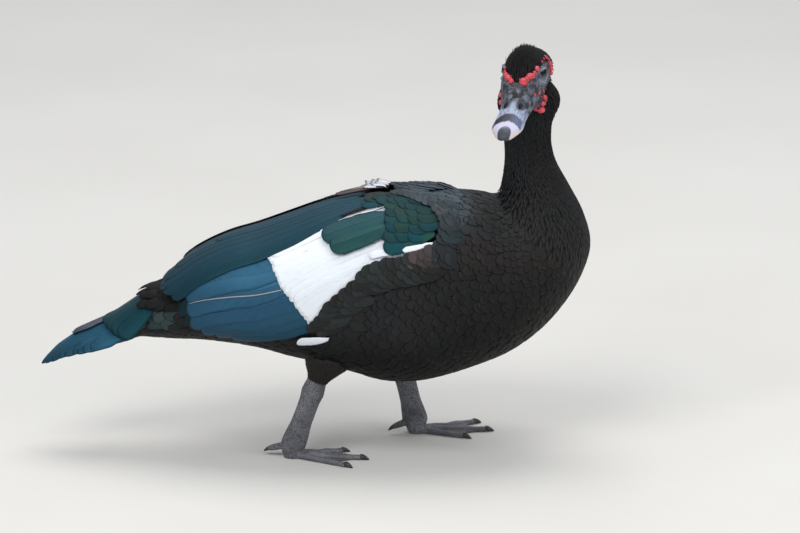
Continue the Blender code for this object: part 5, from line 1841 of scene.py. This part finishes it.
def leg_finish():
    made, tree, shader = new_material("leg_scales", Specular_IOR_Level=0.4)
    inputs = {"Vector": object_place(tree), "Scale": SCALES}
    seams = node(tree, "ShaderNodeTexVoronoi", inputs, feature="DISTANCE_TO_EDGE").outputs[0]
    tone = node(tree, "ShaderNodeTexVoronoi", inputs).outputs["Color"]
    dust = noise_at(tree, inputs["Vector"], 60.0, 4.0)
    flat = ramp(tree, seams, 0.02, 0.16)
    colour = toned(tree, dust, 0.35, 0.7, srgb(84, 86, 92), srgb(128, 129, 136))
    shade = node(tree, "ShaderNodeSeparateColor", {0: tone}).outputs[0]
    colour = blend(tree, times(tree, shade, 0.35), colour, srgb(140, 140, 148))
    paint(tree, shader, blend(tree, flat, srgb(62, 63, 68), colour), dust, 0.3, 0.42)
    scute = read_attribute(tree, "scute", "Fac")
    bump(tree, shader, times(tree, flat, maths(tree, "SUBTRACT", 1.0, scute)), 0.8, 0.0004)
    return made


def foot_frame(side):
    """A foot's turn about the upright, and its place on the floor."""
    turn = Matrix.Rotation(FOOT_TURN[side], 3, "Z")
    return np.array(turn), np.array((TOE_AT[side].x, TOE_AT[side].y, 0))


def heading_way(heading):
    return np.array((math.cos(heading), math.sin(heading), 0))


def hind_toe(side):
    """Where the hind toe starts, and its way."""
    start = Vector((TOE_AT[side].x - 4, TOE_AT[side].y, 13))
    return start, Vector((-0.86, -side * 0.3, -0.26)).normalized()


def toe_net(heading, length, half):
    """A toe along the ground in the foot's frame, with its knuckles, for one heading."""
    way = heading_way(heading)
    net = []
    for f in np.linspace(0, 1, 40):
        wide = half * curve(TOE_SWELLS, f)
        high = 1.72 * wide
        across, up = oval(high / 2, wide, 2.2, np.arange(24) / 24)
        middle = way * (2 + (length - 2) * f) + np.array((0, 0, high / 2 - 0.5))
        net.append(middle + np.outer(across, (-way[1], way[0], 0)) + np.outer(up, (0, 0, 1)))
    return np.array(net)


def web_net(inward):
    """The web between the three front toes, hollowed in front, as a fan of thin rings."""
    heads = [(TOES[name][0] * inward, TOES[name][1] - 3) for name in ("inner", "middle", "outer")]
    net = []
    for (a, reach_a), (b, reach_b) in zip(heads, heads[1:]):
        for f in np.linspace(0, 1, 15):
            if f == 0 and net:
                continue
            angle = a + (b - a) * f
            reach = (reach_a + (reach_b - reach_a) * f) * (1 - 0.2 * math.sin(math.pi * f))
            away = np.linspace(2, reach, 30)
            ripple = 0.25 * np.sin(f * math.pi * 6) * np.linspace(0, 1, 30)
            high = 2.4 - 0.2 * away / reach + ripple
            top = np.stack([np.cos(angle) * away, np.sin(angle) * away, high], -1)
            net.append(np.concatenate([top, (top * (1, 1, 0) + (0, 0, 0.4))[::-1]]))
    return np.array(net)


def leg_mesh(side):
    """Shank, toes, webs and hind toe of one leg, fused by a fine remesh."""
    hip, heel, toe = HIP_AT[side], HEEL_AT[side], TOE_AT[side]
    shin, down = (heel - hip).normalized(), (toe - heel).normalized()
    length = (toe - heel).length
    shank = [
        (heel - shin * (BARE_ABOVE_HEEL[side] + 10), 8, 7),
        (heel - shin * BARE_ABOVE_HEEL[side], 9.6, 7.8),
        (heel - shin * 2, 10.8, 8.2),
        (heel + down * 4, 11.4, 8.2),
        (heel + down * 14, 10.2, 6.8),
        (heel + down * length * 0.55, 10.2, 6.4),
        (heel + down * length * 0.72, 11.4, 7.2),
        (toe - down * 4, 12.4, 9),
        (Vector((toe.x - 0.5, toe.y, 6.5)), 9.2, 9.3),
        (Vector((toe.x + 1.5, toe.y, 3)), 9.2, 9.8),
        (Vector((toe.x + 1.5, toe.y, -1)), 8, 8.6),
    ]
    turn, origin = foot_frame(side)
    root, way = hind_toe(side)
    hind = [(root + way * d, h, h) for d, h in ((0, 4.2), (8, 3.6), (14, 3.4), (HIND_LENGTH, 2.5))]
    nets = [rod_net(shank, 90, 40)]
    nets += [toe_net(spread * -side, reach, half) @ turn.T + origin for spread, reach, half in TOES.values()]
    nets += [web_net(-side) @ turn.T + origin, rod_net(hind, 30, 24)]
    points, faces, count = [], [], 0
    for net in nets:
        limb = solid("limb", net)
        points += [tuple(vertex.co) for vertex in limb.data.vertices]
        faces += [[k + count for k in face.vertices] for face in limb.data.polygons]
        count = len(points)
        bpy.data.objects.remove(limb, do_unlink=True)
    joined = bpy.data.meshes.new(f"leg_{SIDE_NAMES[side]}")
    joined.from_pydata(points, [], faces)
    thing = link(joined, joined.name)
    remesh = thing.modifiers.new("fuse", "REMESH")
    remesh.mode, remesh.voxel_size = "VOXEL", LEG_VOXEL * MM
    smooth = thing.modifiers.new("ease", "SMOOTH")
    smooth.factor, smooth.iterations = 0.5, 5
    thing.data = evaluated_mesh(thing)
    return thing


def carve_scutes(mesh, side):
    """Raises broad plates down the front of the shank and along the top of each toe."""
    heel, toe = np.array(HEEL_AT[side]), np.array(TOE_AT[side])
    down = (toe - heel) / np.linalg.norm(toe - heel)
    points, outward = points_of(mesh)
    points = points.astype(float) / MM
    along = (points - heel) @ down
    ahead = np.cross((0, 1, 0), down)
    fore = outward @ (ahead if ahead[0] >= 0 else -ahead)
    plates = np.clip((fore - 0.45) / 0.3, 0, 1) * (along > -4) * (points[:, 2] > 12)
    lift = plates * (0.45 * (1 - (along / SHANK_PLATE) % 1) ** 0.5 - 0.1)
    turn, origin = foot_frame(side)
    own = (points - origin) @ turn
    for spread, length, half in TOES.values():
        way = heading_way(spread * -side)
        reach = own[:, :2] @ way[:2]
        aside = np.abs(own[:, 0] * way[1] - own[:, 1] * way[0])
        near = (aside < 1.3 * half) & (reach > 9) & (reach < length + 1) & (outward[:, 2] > 0.3)
        plates = np.where(near, 1, plates)
        lift = np.where(near, 0.36 * (1 - (reach / TOE_PLATE) % 1) ** 0.5 - 0.08, lift)
    points = points + outward * lift[:, None]
    points[:, 2] = np.maximum(points[:, 2], 0)
    mesh.vertices.foreach_set("co", (points * MM).astype(np.float32).ravel())
    store(mesh, "scute", "FLOAT", plates)
    mesh.update()


def claw_net(start, way, half, length):
    """A claw that bends down to its tip."""
    side_way = np.cross((0, 0, 1), way)
    side_way /= np.linalg.norm(side_way)
    up = np.cross(way, side_way)
    angle = 2 * math.pi * np.arange(20) / 20
    ring = np.outer(np.sin(angle), side_way) + np.outer(np.cos(angle), up)
    net = []
    for f in np.linspace(0, 1, 20):
        middle = start + way * (length * f - 0.6) - up * (0.28 * length * f * f)
        net.append(middle + ring * half * curve(CLAW_SWELLS, f))
    return np.array(net)


def claw_finish():
    made, tree, shader = new_material("claw", Specular_IOR_Level=0.5)
    grain = noise_at(tree, object_place(tree), 500.0, 3.0)
    colour = toned(tree, grain, 0.35, 0.7, srgb(28, 26, 26), srgb(62, 58, 56))
    paint(tree, shader, colour, grain, 0.3, 0.22)
    bump(tree, shader, grain, 0.3, 0.0002)
    return made


def make_legs():
    scaly, horn = leg_finish(), claw_finish()
    for side in (RIGHT, LEFT):
        word = SIDE_NAMES[side]
        leg = leg_mesh(side)
        carve_scutes(leg.data, side)
        finish_piece(leg, scaly)
        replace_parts(leg, f"shank_{word}", f"foot_{word}")
        turn, origin = foot_frame(side)
        claws = []
        for label, (spread, length, half) in TOES.items():
            way = turn @ heading_way(spread * -side)
            start = origin + way * length + np.array((0, 0, half * 0.95))
            claws.append((label, start, way, half, CLAW_LENGTH))
        root, way = hind_toe(side)
        claws.append(("hind", np.array(root + way * HIND_LENGTH), np.array(way), 2.3, 6.5))
        for label, *shape in claws:
            claw = solid(f"claw_horn_{label}_{word}", claw_net(*shape))
            finish_piece(claw, horn)
            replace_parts(claw, f"claw_{label}_{word}")


def dress():
    """Skin, coat, wings, tail and head, in the order in which they lie on one another."""
    skin = make_skin()
    surface = BVHTree.FromObject(skin, bpy.context.evaluated_depsgraph_get())
    broad = coat_vane("broad_vane", 8, 9, 0.5, 0.1, 0.012)
    slim = coat_vane("slim_vane", 6, 3, 0.7, 0.12)
    lash = crest_vane()
    tree = coat_tree()
    parts = body_seeds(surface)
    parts["thigh_coat"], parts["head_coat"] = Seeds(), Seeds()
    thigh_seeds(parts["thigh_coat"], surface)
    head_seeds(parts["head_coat"], surface)
    for name, seeds in parts.items():
        large = name in ("rump_coat", "flank_coat", "breast_coat", "thigh_coat")
        vane, look = (broad, COAT_FINISH) if large else (slim, HAIRY_FINISH)
        seeds.grow(name, tree, vane, skin, look, "plumage_black")
    crest_seeds().grow("crest", tree, lash, skin, HAIRY_FINISH, "plumage_black", hug=0.0)
    for spare in (broad, slim, lash):
        bpy.data.objects.remove(spare, do_unlink=True)
    finish = skin_finish()
    finish_piece(skin, finish)
    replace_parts(skin, "torso", "neck", "head", "thigh_left", "thigh_right")
    for side in (RIGHT, LEFT):
        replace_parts(flight_vanes(side), f"wing_{SIDE_NAMES[side]}")
        for make in (white_vanes, shoulder_vanes, border_vanes, wing_core):
            make(side)
    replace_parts(tail_vanes(), "tail")
    make_eyelids(finish)


LAMPS = (  # name, place, size, watts
    ("key", (-1.0, -2.2, 2.6), 1.8, 60),
    ("fill", (2.2, -1.6, 1.4), 1.6, 21),
    ("top", (0.3, 0.9, 2.9), 2.0, 50),
)
FLOOR_RADIUS = 9


def aim(thing, place, target):
    thing.location = place
    thing.rotation_euler = (Vector(target) - Vector(place)).to_track_quat("-Z", "Y").to_euler()


def make_stage():
    """A plain pale floor and soft light from above, before and behind."""
    bpy.ops.mesh.primitive_circle_add(vertices=128, radius=FLOOR_RADIUS, fill_type="NGON")
    floor = bpy.context.object
    floor.name = "floor"
    made, tree, shader = new_material("floor", Roughness=0.8)
    cloud = noise_at(tree, object_place(tree), 3.0, 4.0)
    paint(tree, shader, blend(tree, cloud, srgb(206, 204, 200), srgb(218, 217, 214)))
    floor.data.materials.append(made)
    for name, place, size, watts in LAMPS:
        lamp = bpy.data.lights.new(name, "AREA")
        lamp.size, lamp.energy = size, watts
        lamp.color = (1, 0.985, 0.96)
        aim(link(lamp, name), place, (0, 0, 0.2))
    world = bpy.data.worlds.new("studio")
    bpy.context.scene.world = world
    world.use_nodes = True
    sky = world.node_tree.nodes["Background"]
    sky.inputs["Color"].default_value = (0.86, 0.9, 0.96, 1)
    sky.inputs["Strength"].default_value = 0.52
    bpy.context.scene.view_settings.view_transform = "Standard"


# The camera stands far off, as high over the bird as the photo's, and takes in 0.8 m across.
CAMERA_HEIGHT = math.radians(15)
CAMERA_AWAY = 20.0
FRAME_WIDTH = 0.8
FRAME_MIDDLE = (83, 177.5)  # what it looks at, to the right and up from the bird's origin, in mm


def make_camera():
    camera = bpy.data.cameras.new("camera")
    bpy.context.scene.camera = link(camera, "camera")
    camera.sensor_width = 36
    camera.lens = camera.sensor_width * CAMERA_AWAY / FRAME_WIDTH
    camera.clip_end = 100
    up = Vector((0, math.sin(CAMERA_HEIGHT), math.cos(CAMERA_HEIGHT)))
    back = Vector((0, -math.cos(CAMERA_HEIGHT), math.sin(CAMERA_HEIGHT)))
    target = Vector((FRAME_MIDDLE[0] * MM, 0, 0)) + up * FRAME_MIDDLE[1] * MM + SHIFT
    aim(bpy.context.scene.camera, target + back * CAMERA_AWAY, target)


dress()
make_bill()
make_eyes()
make_warts()
make_legs()
make_stage()
make_camera()
